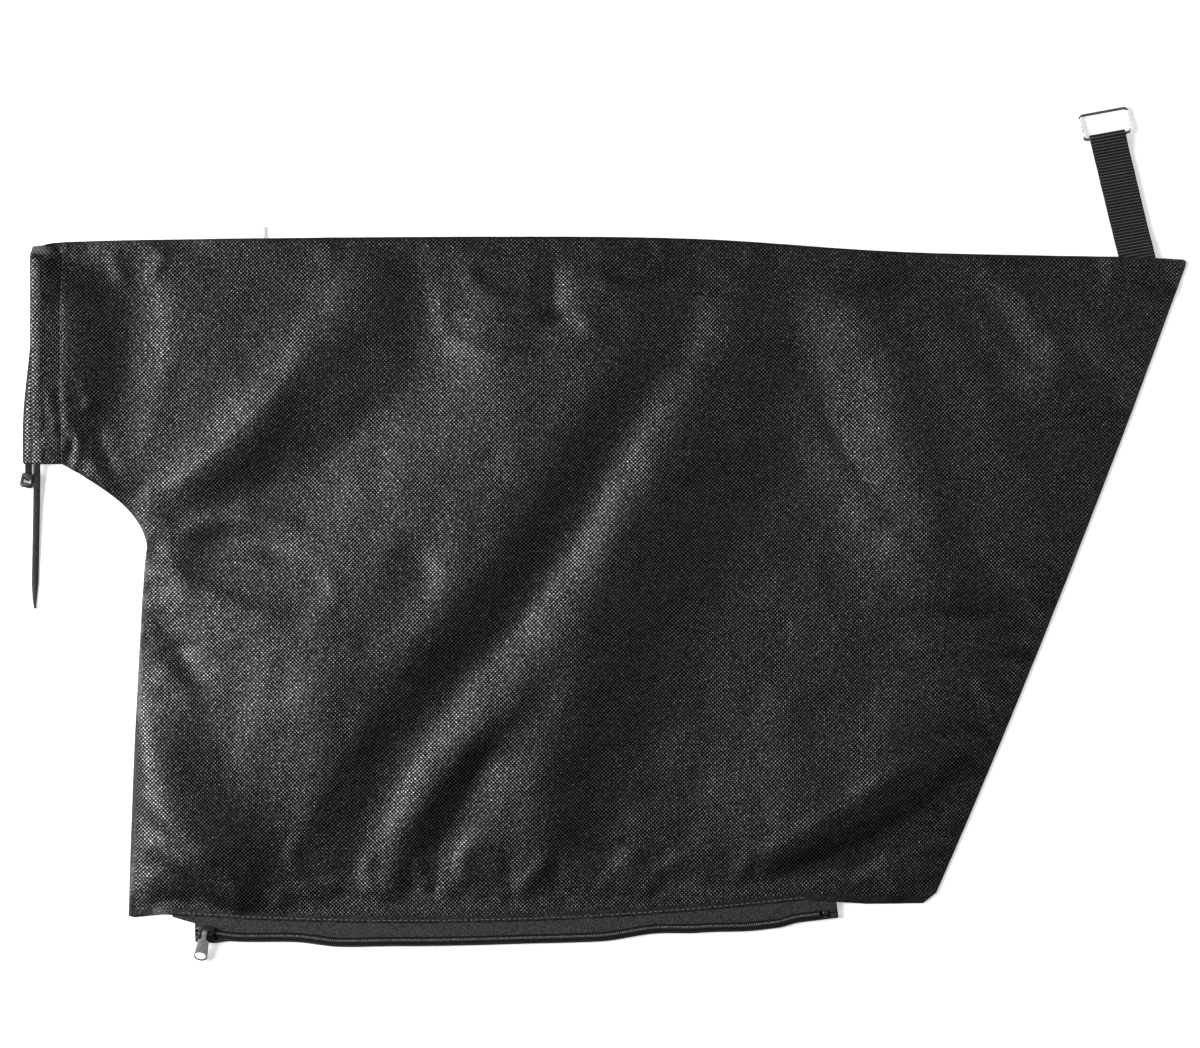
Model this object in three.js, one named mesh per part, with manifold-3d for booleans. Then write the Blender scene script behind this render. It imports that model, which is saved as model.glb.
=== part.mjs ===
// Leaf collection bag of a garden vacuum, lying flat and empty on its back panel.
// Millimetres, +Z up. +X runs along the top seam from the neck's mouth to the far corner,
// +Y points from the zipped bottom edge to the top seam. While the pieces are drawn, Y = 0
// is the top seam and X = 0 is half way along it; at the end the group is moved so that its
// origin is the middle of its box, on the surface that it lies on.
import * as THREE from 'three';
import { mergeVertices } from 'three/addons/utils/BufferGeometryUtils.js';
import Module from 'manifold-3d';

const wasm = await Module();
wasm.setup();

// Sizes of the bag's outline
const bagLength = 808;        // mouth of the neck to the far top corner
const bagDepth = 489;         // top seam to the middle of the zip chain
const neckWidth = 152;        // the neck's tunnel, laid flat
const neckLength = 80;        // mouth of the neck to the body's left edge
const neckCurve = 58;         // height of the curve from the neck into the left edge
const leftLean = 13;          // how far the left edge leans out at its foot
const rightSlant = 179;       // how far the right edge runs back in over the bag's depth
const rightBow = 4;           // outward bow of the right edge
const leftFoot = 16;          // zip chain's lowest point up to the left bottom corner
const rightFoot = 25;         // zip chain's lowest point up to the right bottom corner
const mouthDrop = 5;          // the top seam's drop at the mouth
const cornerDrop = 14;        // the top seam's drop at the far corner

// Cloth, its hems and how far it stands up
const cloth = 0.6;            // non-woven cloth
const gap = 0.3;              // clearance between pieces that touch
const hemWidth = 21;          // mouth edge to the hem's stitch line
const hemBulge = 6.4;         // the back hem's bulge out past the front hem
const seamRound = 58;         // how fast the plain front panel rises from a seam
const foldRound = 36;         // how fast its folds do
const puff = 8;               // plain height of the front panel between its folds
const leastRise = 1.2;        // the least clear height between the panels inside the seams
const mouthHeight = 8.4;      // clear height of the mouth between its two hems
const hemFall = 2.2;          // fall of the hem's top from its crown to the stitch line
const hemBlend = 40;          // stitch line to where the hem's height has died away
const hemRise = 70;           // neck's lower edge to where the hem has its full height
const bulgeFrom = 45;         // top of the mouth to where the back hem begins to stand out
const bulgeOver = 85;         // further down to its full bulge
const neckEaseX = 22;         // how the neck's lower edge turns into its curve
const neckEaseY = 12;
const cornerFlat = 40;        // straight stretch of the bottom edge at the right corner
const meshStep = 13.4;        // spacing of the cloth's mesh
const clearAbove = 100;       // height of the cutter that trims the cloth to its outline

// Cable tie that draws the mouth shut
const tieWidth = 4.8;
const tieThick = 1.2;
const tieInset = 3.5;         // mouth edge to the middle of the tie's strap
const tieTail = 101;          // free tail below the neck
const tieTip = 18;            // length of the tail's narrowing tip
const tieHeadLength = 10.5;
const tieHeadWidth = 9;
const tieHeadHeight = 5.4;
const tieHeadOut = 6;         // neck's edge to the head
const tunnelHeight = 2.4;     // clear height of the hem's tunnel

// Zip
const zipRadius = 2365;       // the chain follows a long flat arc
const zipLowest = 0.35053;    // where that arc is lowest, as a share of the bottom edge
const sliderFromCorner = 54;  // left bottom corner to the slider at rest
const stopFromCorner = 74;    // bottom stop to the right bottom corner
const tapeWidth = 14;
const tapeThick = 0.5;
const tapeShown = 8.6;        // tape between the chain and the panel's edge
const coilWidth = 2.25;       // one row of the chain
const coilHeight = 2;
const coilGap = 0.3;          // between the two rows
const tapeFold = 0.5;         // back tape's fold past the chain
const tapePast = 24;          // tape past the slider at the closed end
const tapeEnd = 9;            // tape past the bottom stop
const tapeCorner = 9.5;       // chain to the corner where the tape's slanted end begins
const tapeSlant = 5.6;        // chain to the slanted end beside the slider
const stopLength = 2.6;
const stopWidth = 2.4;

// Slider and its pull tab
const sliderLength = 12.6;
const sliderWidth = 10.6;
const sliderTail = 8.2;       // width at its narrow end
const plateThick = 1.1;
const postLength = 4;
const postWidth = 2.6;
const bridgeThick = 1.5;
const bridgeRise = 2.2;       // clear height under the bridge
const bridgeLength = 8;
const tabLength = 20.6;
const tabWidth = 9.4;         // across its round end
const tabShoulder = 7.6;      // across its shoulders
const tabTip = 3;             // length of the round end
const tabLean = 8;            // degrees off square to the slider
const tabThick = 1.2;
const tabEye = 1.3;           // wall of the tab's eye round the bridge

// Hanging strap and its ring
const strapWidth = 25;
const strapThick = 1.2;
const strapLength = 89;       // seam to the ring's bar
const strapSewn = 10;         // strap held inside the seam
const strapClear = 6;         // where it starts to come down to the surface, past the seam
const strapFromCorner = 35;   // far top corner to the middle of the strap
const strapLean = 13.7;       // degrees along the strap
const ringLean = 10.4;        // degrees of its ribs and of the ring's bar
const wire = 2.6;             // thickness of the ring's wire
const ringWidth = 36.4;
const ringHeight = 20;
const ringCorner = 4;         // outer radius of its corners

// Blank label in the top seam
const labelWidth = 35;
const labelShown = 9;
const labelSewn = 7;
const labelThick = 0.4;
const labelFromMouth = 145;   // mouth to the label's middle

// Levels of the zip, from the surface up
const backTapeZ = cloth + gap;
const bottomPlateZ = backTapeZ + tapeThick + gap;
const chainTapeZ = bottomPlateZ + plateThick + gap;
const coilZ = chainTapeZ + tapeThick + gap;
const topPlateZ = coilZ + coilHeight + gap;
const overTape = chainTapeZ + tapeThick + gap;
const seamZ = cloth + gap;

const mouthX = -bagLength / 2;
const cornerX = bagLength / 2;
const stitchX = mouthX + hemWidth;
const neckFoot = -mouthDrop - neckWidth;
const bodyLeft = mouthX + neckLength;
const leftCorner = bodyLeft - leftLean;
const rightCorner = cornerX - rightSlant;
const degrees = Math.PI / 180;
const clamp = (v) => Math.min(1, Math.max(0, v));
const smooth = (v) => clamp(v) ** 2 * (3 - 2 * clamp(v));
const lerp = (a, b, t) => a + (b - a) * t;

// Helpers that make closed meshes

function closedMesh(points, faces) {
  let volume = 0;
  for (const [a, b, c] of faces) volume += points[a].dot(points[b].clone().cross(points[c]));
  const index = volume < 0 ? faces.map(([a, b, c]) => [a, c, b]) : faces;
  const geometry = new THREE.BufferGeometry().setFromPoints(points);
  geometry.setIndex(index.flat());
  return geometry;
}

function toSolid(geometry) {
  const bare = geometry.clone();
  bare.deleteAttribute('normal');
  bare.deleteAttribute('uv');
  const merged = mergeVertices(bare, 1e-4);
  return new wasm.Manifold(new wasm.Mesh({
    numProp: 3,
    vertProperties: new Float32Array(merged.attributes.position.array),
    triVerts: new Uint32Array(merged.index.array),
  }));
}

function toGeometry(solid) {
  const mesh = solid.getMesh();
  const geometry = new THREE.BufferGeometry();
  geometry.setAttribute('position', new THREE.BufferAttribute(mesh.vertProperties, 3));
  geometry.setIndex(new THREE.BufferAttribute(mesh.triVerts, 1));
  return geometry;
}

const joined = (geometries) => toGeometry(geometries.map(toSolid).reduce((a, b) => a.add(b)));

// A solid through a row of outlines with the same number of points; place puts a point in space
function loft(outlines, place, ring = false) {
  const clockwise = THREE.ShapeUtils.isClockWise(outlines[0]);
  const sections = clockwise ? outlines.map((outline) => [...outline].reverse()) : outlines;
  const count = sections[0].length;
  const points = sections.flatMap((section, i) => section.map((p) => place(i, p)));
  const faces = [];
  const rows = ring ? sections.length : sections.length - 1;
  for (let i = 0; i < rows; i++) {
    const next = (i + 1) % sections.length;
    for (let j = 0; j < count; j++) {
      const k = (j + 1) % count;
      const [a, b, c, d] = [i * count + j, i * count + k, next * count + k, next * count + j];
      faces.push([a, b, c], [a, c, d]);
    }
  }
  if (!ring) {
    const last = (sections.length - 1) * count;
    for (const [a, b, c] of THREE.ShapeUtils.triangulateShape(sections[0], [])) faces.push([a, c, b]);
    for (const [a, b, c] of THREE.ShapeUtils.triangulateShape(sections.at(-1), [])) {
      faces.push([last + a, last + b, last + c]);
    }
  }
  return closedMesh(points, faces);
}

// A sheet on a grid of lines, between two heights given as functions of x and y
function sheet(xs, ys, low, high, moveX = (x) => x) {
  const points = [];
  for (const level of [low, high]) {
    for (const y of ys) for (const x of xs) points.push(new THREE.Vector3(moveX(x, y), y, level(x, y)));
  }
  const size = xs.length * ys.length;
  const at = (i, j) => j * xs.length + i;
  const faces = [];
  for (let j = 0; j < ys.length - 1; j++) {
    for (let i = 0; i < xs.length - 1; i++) {
      const [a, b, c, d] = [at(i, j), at(i + 1, j), at(i + 1, j + 1), at(i, j + 1)];
      faces.push([a, c, b], [a, d, c], [size + a, size + b, size + c], [size + a, size + c, size + d]);
    }
  }
  const rim = [];
  for (let i = 0; i < xs.length - 1; i++) rim.push(at(i, 0));
  for (let j = 0; j < ys.length - 1; j++) rim.push(at(xs.length - 1, j));
  for (let i = xs.length - 1; i > 0; i--) rim.push(at(i, ys.length - 1));
  for (let j = ys.length - 1; j > 0; j--) rim.push(at(0, j));
  rim.forEach((a, n) => {
    const b = rim[(n + 1) % rim.length];
    faces.push([a, b, size + b], [a, size + b, size + a]);
  });
  return closedMesh(points, faces);
}

// Lines through every stop, at most one step apart
function gridLines(stops, step) {
  const sorted = [...stops].sort((a, b) => a - b);
  const lines = [sorted[0]];
  for (let n = 1; n < sorted.length; n++) {
    const count = Math.max(1, Math.ceil((sorted[n] - sorted[n - 1]) / step));
    for (let k = 1; k <= count; k++) lines.push(lerp(sorted[n - 1], sorted[n], k / count));
  }
  return lines;
}

function prism(outline, low, high) {
  const shape = new THREE.Shape(outline);
  const solid = new THREE.ExtrudeGeometry(shape, { depth: high - low, bevelEnabled: false });
  return solid.translate(0, 0, low);
}

// A band of even thickness along a path of points
function band(path, thick) {
  const sides = [1, -1].map((side) => path.map((p, n) => {
    const before = path[Math.max(n - 1, 0)];
    const after = path[Math.min(n + 1, path.length - 1)];
    const inward = p.clone().sub(before);
    const onward = after.clone().sub(p);
    const first = (inward.length() ? inward : onward).clone().normalize();
    const second = (onward.length() ? onward : inward).clone().normalize();
    const along = first.clone().add(second).normalize();
    const reach = (side * thick) / 2 / Math.max(0.5, along.dot(first));
    return new THREE.Vector2(p.x - along.y * reach, p.y + along.x * reach);
  }));
  return [...sides[0], ...sides[1].reverse()];
}

const vec = (x, y) => new THREE.Vector2(x, y);

function arcPoints(cx, cy, radius, from, to, count) {
  return Array.from({ length: count + 1 }, (_, n) => {
    const angle = lerp(from, to, n / count) * degrees;
    return vec(cx + radius * Math.cos(angle), cy + radius * Math.sin(angle));
  });
}

// The zip's arc: a point from its distance along the arc and its offset towards the outside

const zipMiddle = lerp(leftCorner, rightCorner, zipLowest);
const zipFromMiddle = zipMiddle - leftCorner - sliderFromCorner;
const zipToStop = rightCorner - stopFromCorner - zipMiddle;
const zipCentre = vec(zipMiddle, zipRadius - bagDepth);
const panelEdge = -(coilWidth + coilGap / 2 + tapeShown);

function onZip(along, outward, z) {
  const angle = along / zipRadius;
  const radius = zipRadius + outward;
  return new THREE.Vector3(
    zipCentre.x + radius * Math.sin(angle), zipCentre.y - radius * Math.cos(angle), z);
}

function zipPlace(x, y) {
  const dx = x - zipCentre.x;
  const dy = zipCentre.y - y;
  return { along: Math.atan2(dx, dy) * zipRadius, outward: Math.hypot(dx, dy) - zipRadius };
}

// The bag's outline, counter-clockwise from the mouth's lower corner

const topShape = [[0.058, -0.7], [0.36, 2.1], [0.57, 0.7], [0.75, -8.4], [0.94, -12]];

function topEdge() {
  const points = [vec(mouthX, -mouthDrop)];
  for (const [share, y] of topShape) points.push(vec(mouthX + share * bagLength, y));
  points.push(vec(cornerX, -cornerDrop));
  return new THREE.SplineCurve(points).getPoints(30);
}

function rightEdge() {
  const foot = vec(rightCorner, -bagDepth + rightFoot);
  const top = vec(cornerX, -cornerDrop);
  const middle = top.clone().lerp(foot, 0.5).add(vec(2 * rightBow, -rightBow / 2));
  return new THREE.QuadraticBezierCurve(top, middle, foot).getPoints(8);
}

function leftEdge() {
  const foot = vec(leftCorner, -bagDepth + leftFoot);
  const middle = vec(bodyLeft, neckFoot - neckCurve);
  return new THREE.QuadraticBezierCurve(foot, vec(bodyLeft - leftLean / 3, foot.y / 2), middle).getPoints(6);
}

function neckEdge() {
  const start = vec(bodyLeft, neckFoot - neckCurve);
  const end = vec(stitchX, neckFoot);
  const curve = new THREE.CubicBezierCurve(
    start, vec(bodyLeft - 2, start.y + neckCurve * 0.45), vec(end.x + neckEaseX, end.y - neckEaseY), end);
  return curve.getPoints(9);
}

// The bottom edge from left to right, along the zip's arc where the zip is
function bottomEdge() {
  const left = vec(leftCorner + 4, -bagDepth + leftFoot - 1);
  const right = vec(rightCorner - 6, -bagDepth + rightFoot);
  const from = -zipFromMiddle - tapePast - 6;
  const to = zipToStop - 12;
  const points = [left];
  const steps = 24;
  for (let n = 0; n <= steps; n++) {
    const p = onZip(lerp(from, to, n / steps), panelEdge, 0);
    points.push(vec(p.x, p.y));
  }
  points.push(vec(right.x - cornerFlat, right.y - 0.5), right);
  return points;
}

// How far the back panel's mouth edge stands out past the front one
const bulge = (y) => hemBulge * smooth((-mouthDrop - y - bulgeFrom) / bulgeOver);

function backMouth() {
  const steps = 12;
  return Array.from({ length: steps + 1 }, (_, n) => {
    const y = lerp(-mouthDrop, neckFoot, n / steps);
    return vec(mouthX - bulge(y), y);
  });
}

const seams = [topEdge(), rightEdge(), bottomEdge(), leftEdge(), neckEdge()];
const outlineRest = [
  ...bottomEdge(), ...rightEdge().reverse(), ...topEdge().reverse().slice(1),
];
const frontOutline = [...leftEdge().reverse(), ...outlineRest, vec(mouthX, neckFoot),
  ...neckEdge().reverse().slice(0, -1)];
const backOutline = [...leftEdge().reverse(), ...outlineRest, ...backMouth().slice(1),
  ...neckEdge().reverse().slice(0, -1)];

// The nearest place on a line: its distance, on which side of the line (x, y) is, and its run
function nearest(line, x, y) {
  let best = { distance: Infinity, run: 0, right: false };
  let run = 0;
  line.slice(1).forEach((b, n) => {
    const a = line[n];
    const [dx, dy] = [b.x - a.x, b.y - a.y];
    const length = Math.hypot(dx, dy);
    const t = clamp(((x - a.x) * dx + (y - a.y) * dy) / (length ** 2 || 1));
    const [px, py] = [x - a.x - t * dx, y - a.y - t * dy];
    const distance = Math.hypot(px, py);
    if (distance < best.distance) best = { distance, run: run + t * length, right: dy * px > dx * py };
    run += length;
  });
  return best;
}

function isInside(x, y) {
  let inside = false;
  frontOutline.forEach((a, n) => {
    const b = frontOutline[(n + 1) % frontOutline.length];
    if ((a.y > y) !== (b.y > y) && x < a.x + ((y - a.y) * (b.x - a.x)) / (b.y - a.y)) inside = !inside;
  });
  return inside;
}

// Distance inside the seams, rounded off where two of them are equally near
function seamDistance(x, y) {
  if (!isInside(x, y)) return 0;
  const total = seams.reduce((sum, seam) => sum + Math.max(nearest(seam, x, y).distance, 0.02) ** -3, 0);
  return total ** (-1 / 3);
}

// Folds of the front panel. Each is a soft ridge, or a hollow where its height is negative, along
// a line from its lower to its upper end, of [share of the bag's length from the mouth, share of
// its depth from the top seam]. height, left and right, which are its half widths, and start and
// end, over which it dies away, are shares of the bag's depth.
const folds = [
  { name: 'neck hollow', height: -0.0061, left: 0.045, right: 0.09, start: 0.029, end: 0.007,
    line: [[0.051, 0.329], [0.062, 0.258], [0.068, 0.157], [0.069, 0.086], [0.067, 0]] },
  { name: 'belly', height: 0.0102, left: 0.307, right: 0.225, start: 0.315, end: 0.172,
    line: [[0.318, 0.945], [0.344, 0.744], [0.422, 0.458], [0.491, 0.229], [0.535, 0.014]] },
  { name: 'neck swell', height: 0.0025, left: 0.025, right: 0.061, start: 0.086, end: 0.007,
    line: [[0.117, 0.258], [0.12, 0.129], [0.117, 0]] },
  { name: 'neck ridge', height: 0.0094, left: 0.035, right: 0.049, start: 0.086, end: 0.043,
    line: [[0.098, 0.401], [0.149, 0.326], [0.198, 0.251], [0.231, 0.189], [0.257, 0.129],
      [0.285, 0.064], [0.316, 0.007]] },
  { name: 'shoulder hollow', height: -0.0102, left: 0.049, right: 0.074, start: 0.029, end: 0.014,
    line: [[0.114, 0.429], [0.179, 0.389], [0.244, 0.341], [0.301, 0.251], [0.34, 0.15],
      [0.354, 0.014]] },
  { name: 'throat crease', height: 0.0045, left: 0.016, right: 0.033, start: 0.011, end: 0.086,
    line: [[0.107, 0.447], [0.145, 0.411], [0.192, 0.389], [0.24, 0.379]] },
  { name: 'throat dish', height: -0.0033, left: 0.031, right: 0.033, start: 0.029, end: 0.1,
    line: [[0.132, 0.452], [0.175, 0.438], [0.218, 0.447], [0.257, 0.48]] },
  { name: 'side dish', height: -0.0037, left: 0.041, right: 0.033, start: 0.043, end: 0.057,
    line: [[0.27, 0.573], [0.318, 0.53], [0.335, 0.465], [0.322, 0.408]] },
  { name: 'left wedge', height: 0.0049, left: 0.045, right: 0.07, start: 0.014, end: 0.086,
    line: [[0.107, 0.48], [0.145, 0.515], [0.188, 0.551], [0.24, 0.573], [0.301, 0.558]] },
  { name: 'middle ridge', height: 0.0133, left: 0.172, right: 0.057, start: 0.129, end: 0.057,
    line: [[0.23, 0.916], [0.233, 0.809], [0.253, 0.73], [0.282, 0.661], [0.316, 0.594], [0.357, 0.52],
      [0.398, 0.441], [0.432, 0.355], [0.471, 0.255], [0.502, 0.183], [0.536, 0.097], [0.564, 0.014]]
      },
  { name: 'middle hollow', height: -0.0082, left: 0.053, right: 0.041, start: 0.029, end: 0.029,
    line: [[0.294, 0.938], [0.302, 0.823], [0.328, 0.73], [0.359, 0.658], [0.402, 0.573],
      [0.437, 0.494], [0.47, 0.412], [0.502, 0.315], [0.535, 0.218], [0.562, 0.146], [0.583, 0.029]] },
  { name: 'long ridge', height: 0.0094, left: 0.053, right: 0.09, start: 0.1, end: 0.057,
    line: [[0.463, 0.93], [0.453, 0.859], [0.452, 0.773], [0.461, 0.687], [0.476, 0.601],
      [0.493, 0.515], [0.515, 0.429], [0.547, 0.315], [0.578, 0.218], [0.597, 0.122], [0.597, 0.031]]
      },
  { name: 'long hollow', height: -0.0102, left: 0.098, right: 0.164, start: 0.043, end: 0.057,
    line: [[0.484, 0.916], [0.502, 0.83], [0.528, 0.716], [0.562, 0.601], [0.597, 0.487],
      [0.632, 0.372], [0.656, 0.258], [0.664, 0.129]] },
  { name: 'far foot', height: -0.0045, left: 0.082, right: 0.045, start: 0.172, end: 0.072,
    line: [[0.723, 0.48], [0.699, 0.401], [0.676, 0.301], [0.663, 0.2], [0.664, 0.122], [0.703, 0.086]]
      },
  { name: 'far ridge', height: 0.0184, left: 0.086, right: 0.074, start: 0.172, end: 0.057,
    line: [[0.846, 0.573], [0.805, 0.458], [0.781, 0.372], [0.766, 0.286], [0.749, 0.2],
      [0.734, 0.115], [0.723, 0.031]] },
  { name: 'far hollow', height: -0.0082, left: 0.061, right: 0.082, start: 0.086, end: 0.014,
    line: [[0.911, 0.515], [0.89, 0.372], [0.846, 0.229], [0.816, 0.129], [0.794, 0.031]] },
  { name: 'side swell', height: 0.0061, left: 0.082, right: 0.033, start: 0.029, end: 0.007,
    line: [[0.838, 0.709], [0.836, 0.644], [0.845, 0.573], [0.872, 0.504]] },
  { name: 'corner ridge', height: 0.0115, left: 0.039, right: 0.045, start: 0.029, end: 0.014,
    line: [[0.959, 0.236], [0.92, 0.203], [0.883, 0.136], [0.845, 0.021]] },
  { name: 'corner hollow', height: -0.0072, left: 0.029, right: 0.049, start: 0.014, end: 0.007,
    line: [[0.976, 0.186], [0.946, 0.155], [0.903, 0.097], [0.868, 0.021]] },
  { name: 'foot ridge', height: 0.0164, left: 0.115, right: 0.029, start: 0.157, end: 0.014,
    line: [[0.608, 0.938], [0.666, 0.87], [0.723, 0.825], [0.767, 0.782], [0.799, 0.736],
      [0.838, 0.706]] },
  { name: 'foot hollow', height: -0.0061, left: 0.02, right: 0.025, start: 0.029, end: 0.029,
    line: [[0.638, 0.952], [0.687, 0.905], [0.737, 0.873], [0.777, 0.839], [0.807, 0.794]] },
  { name: 'foot crease', height: 0.0061, left: 0.016, right: 0.016, start: 0.029, end: 0.014,
    line: [[0.701, 0.93], [0.751, 0.873], [0.79, 0.833], [0.816, 0.807]] },
  { name: 'left foot ridge', height: 0.0082, left: 0.061, right: 0.053, start: 0.057, end: 0.086,
    line: [[0.204, 0.952], [0.166, 0.888], [0.14, 0.85], [0.117, 0.79], [0.105, 0.716], [0.101, 0.616]]
      },
  { name: 'left foot hollow', height: -0.0061, left: 0.049, right: 0.082, start: 0.014, end: 0.129,
    line: [[0.228, 0.93], [0.221, 0.87], [0.202, 0.804], [0.178, 0.737], [0.147, 0.658],
      [0.114, 0.594]] },
  { name: 'left tuck low', height: -0.0033, left: 0.016, right: 0.025, start: 0.007, end: 0.057,
    line: [[0.101, 0.67], [0.123, 0.63], [0.158, 0.604]] },
  { name: 'left tuck high', height: -0.0033, left: 0.016, right: 0.025, start: 0.057, end: 0.007,
    line: [[0.159, 0.666], [0.136, 0.601], [0.103, 0.533]] },
  { name: 'wedge ridge', height: 0.0061, left: 0.037, right: 0.027, start: 0.014, end: 0.115,
    line: [[0.302, 0.952], [0.314, 0.87], [0.342, 0.787], [0.379, 0.716], [0.422, 0.644],
      [0.457, 0.573]] },
  { name: 'wedge hollow', height: -0.0092, left: 0.025, right: 0.037, start: 0.014, end: 0.057,
    line: [[0.328, 0.952], [0.358, 0.856], [0.386, 0.766], [0.406, 0.709]] },
  { name: 'seam bulge', height: 0.0045, left: 0.037, right: 0.049, start: 0.057, end: 0.007,
    line: [[0.405, 0.15], [0.372, 0.093], [0.361, 0.036], [0.372, -0.003]] },
  { name: 'seam tuck', height: -0.0074, left: 0.02, right: 0.031, start: 0.05, end: 0.007,
    line: [[0.439, 0.136], [0.45, 0.072], [0.457, 0]] },
  { name: 'seam arc', height: 0.0061, left: 0.025, right: 0.025, start: 0.029, end: 0.007,
    line: [[0.47, 0.136], [0.491, 0.094], [0.533, 0.072], [0.561, 0.007]] },
];

const foldLines = folds.map((fold) => {
  const corners = fold.line.map(([share, drop]) => vec(mouthX + share * bagLength, -drop * bagDepth));
  const points = new THREE.SplineCurve(corners).getPoints(3 * corners.length);
  const length = points.slice(1).reduce((sum, p, n) => sum + p.distanceTo(points[n]), 0);
  return { ...fold, points, length };
});

function foldHeight(fold, x, y) {
  const place = nearest(fold.points, x, y);
  const width = (place.right ? fold.right : fold.left) * bagDepth;
  const start = smooth(place.run / (fold.start * bagDepth));
  const end = smooth((fold.length - place.run) / (fold.end * bagDepth));
  return fold.height * bagDepth * Math.exp(-((place.distance / width) ** 2)) * lerp(0.2, 1, start * end);
}

// The hem stands over the cable tie: up behind the tie's bend, down to the neck's lower edge
const bendRadius = (mouthHeight + 2 * cloth + tunnelHeight) / 2;
const bendY = -mouthDrop - 4.4 - bendRadius - tieThick;
const hemHigh = cloth + tunnelHeight + cloth + mouthHeight + cloth + tunnelHeight;
const hemLow = cloth + tunnelHeight + cloth + gap + cloth + tunnelHeight;

// Mouth edge to the far side of the tunnel's full height
const tieSpan = tieInset + tieWidth / 2 + 1.5;

function hemHeight(y) {
  if (y >= bendY) {
    const outer = bendRadius + tieThick / 2 + gap + 0.4;
    const reach = y - bendY;
    const round = hemHigh - bendRadius + Math.sqrt(Math.max(0, outer ** 2 - reach ** 2));
    const fall = clamp((-mouthDrop - y) / (-mouthDrop - bendY - outer));
    return reach < outer ? Math.min(hemHigh, round) : lerp(seamZ, hemHigh - bendRadius, fall);
  }
  return lerp(hemLow, hemHigh, smooth((y - neckFoot) / hemRise));
}

// The hem's top falls a little from over the tie to the stitch line
function hemTop(u, y) {
  const fall = hemFall * smooth((u - tieSpan) / (hemWidth - tieSpan));
  return Math.max(seamZ, hemHeight(y) - fall);
}

// Places where something lies in or under the seam, and the height that it needs
const strapRoot = vec(cornerX - strapFromCorner, -cornerDrop);
const labelRoot = vec(mouthX + labelFromMouth, 0);
const strapTop = seamZ + 2 * strapThick + gap;
const labelTop = seamZ + 2 * labelThick + gap;

function lifted(x, y) {
  const box = (root, half, sewn, top) => {
    const beside = Math.abs(x - root.x) - half;
    const below = root.y - sewn - y;
    return top * (1 - smooth((Math.max(beside, below) - meshStep) / meshStep));
  };
  const zip = zipPlace(x, y);
  const past = Math.max(-zipFromMiddle - tapePast - zip.along, zip.along - zipToStop - tapeEnd);
  const inward = panelEdge - (tapeWidth - tapeShown) - zip.outward;
  return Math.max(
    box(strapRoot, strapWidth * 0.6, strapSewn, strapTop + gap),
    box(labelRoot, labelWidth / 2, labelSewn, labelTop + gap),
    (overTape + gap) * (1 - smooth((Math.max(past, inward) - meshStep) / meshStep)),
  );
}

// Height of the front panel's underside
function frontHeight(x, y) {
  const inside = seamDistance(x, y);
  const plain = puff * (1 - Math.exp(-inside / seamRound));
  const folded = foldLines.reduce((sum, fold) => sum + foldHeight(fold, x, y), 0);
  const rise = plain + folded * (1 - Math.exp(-inside / foldRound));
  const least = leastRise * (1 - Math.exp(-inside / meshStep));
  const body = Math.max(seamZ + Math.max(rise, least), lifted(x, y));
  return lerp(hemTop(x - mouthX, y), body, smooth((x - stitchX) / hemBlend));
}

// The tunnel's clear height across the hem, a little below nothing where the layers meet
function tunnelAt(u) {
  const rise = smooth(u / 0.9);
  const fall = smooth((hemWidth - u) / (hemWidth - tieSpan));
  return tunnelHeight * Math.min(rise, fall) - cloth / 2 * (1 - Math.min(rise, fall));
}

const hemColumns = [0, 0.5, 0.9, tieSpan, hemWidth * 0.6, hemWidth * 0.8, hemWidth];
const bodyLines = gridLines([-bagDepth - 6, neckFoot - neckCurve, neckFoot, bendY], meshStep);
const topLines = [0.33, 0.62, 0.8, 0.92, 1].map((t) => lerp(bendY, -mouthDrop, t));
const yLines = [...bodyLines, ...topLines, 0, 4];
const xLines = gridLines([mouthX, stitchX, bodyLeft, cornerX + 2], meshStep);
const hemLines = yLines.filter((y) => y >= neckFoot && y <= bendY);

function frontPanel() {
  const full = toSolid(sheet(xLines, yLines, frontHeight, (x, y) => frontHeight(x, y) + cloth));
  const cut = full.intersect(toSolid(prism(frontOutline, -1, clearAbove)));
  const fold = sheet(hemColumns, hemLines,
    (u, y) => hemTop(u, y) - tunnelAt(u) - cloth, (u, y) => hemTop(u, y) - tunnelAt(u),
    (u) => mouthX + u);
  return toGeometry(cut.add(toSolid(fold)));
}

function backPanel() {
  const flat = toSolid(prism(backOutline, 0, cloth));
  const fold = sheet(hemColumns, hemLines,
    (u) => cloth + tunnelAt(u), (u) => 2 * cloth + tunnelAt(u),
    (u, y) => mouthX + u - bulge(y) * clamp((hemWidth - u) / (hemWidth - tieSpan)));
  return toGeometry(flat.add(toSolid(fold)));
}

// The zip's tapes, chain, stops and slider

const zipFrom = -zipFromMiddle - tapePast;
const zipTo = zipToStop + tapeEnd;
const closedHalf = coilGap / 2;
const sliderNose = -zipFromMiddle - sliderLength / 2;

// How far the chain's rows stand apart: closed behind the slider, parted round its post
const parted = (along) => (postWidth / 2 + gap - closedHalf) * (1 - smooth((along - sliderNose - 2) / 6));

// Past the slider both tapes turn in to a slanted end beside the panel's edge
const turnFrom = sliderNose - 1.5;
const turnTo = sliderNose - 0.3;
const turnedIn = (along) => 1 - smooth((along - turnFrom) / (turnTo - turnFrom));
const slantedEnd = (along) => -lerp(tapeCorner, tapeSlant, (along - zipFrom) / (sliderNose - zipFrom));

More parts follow.
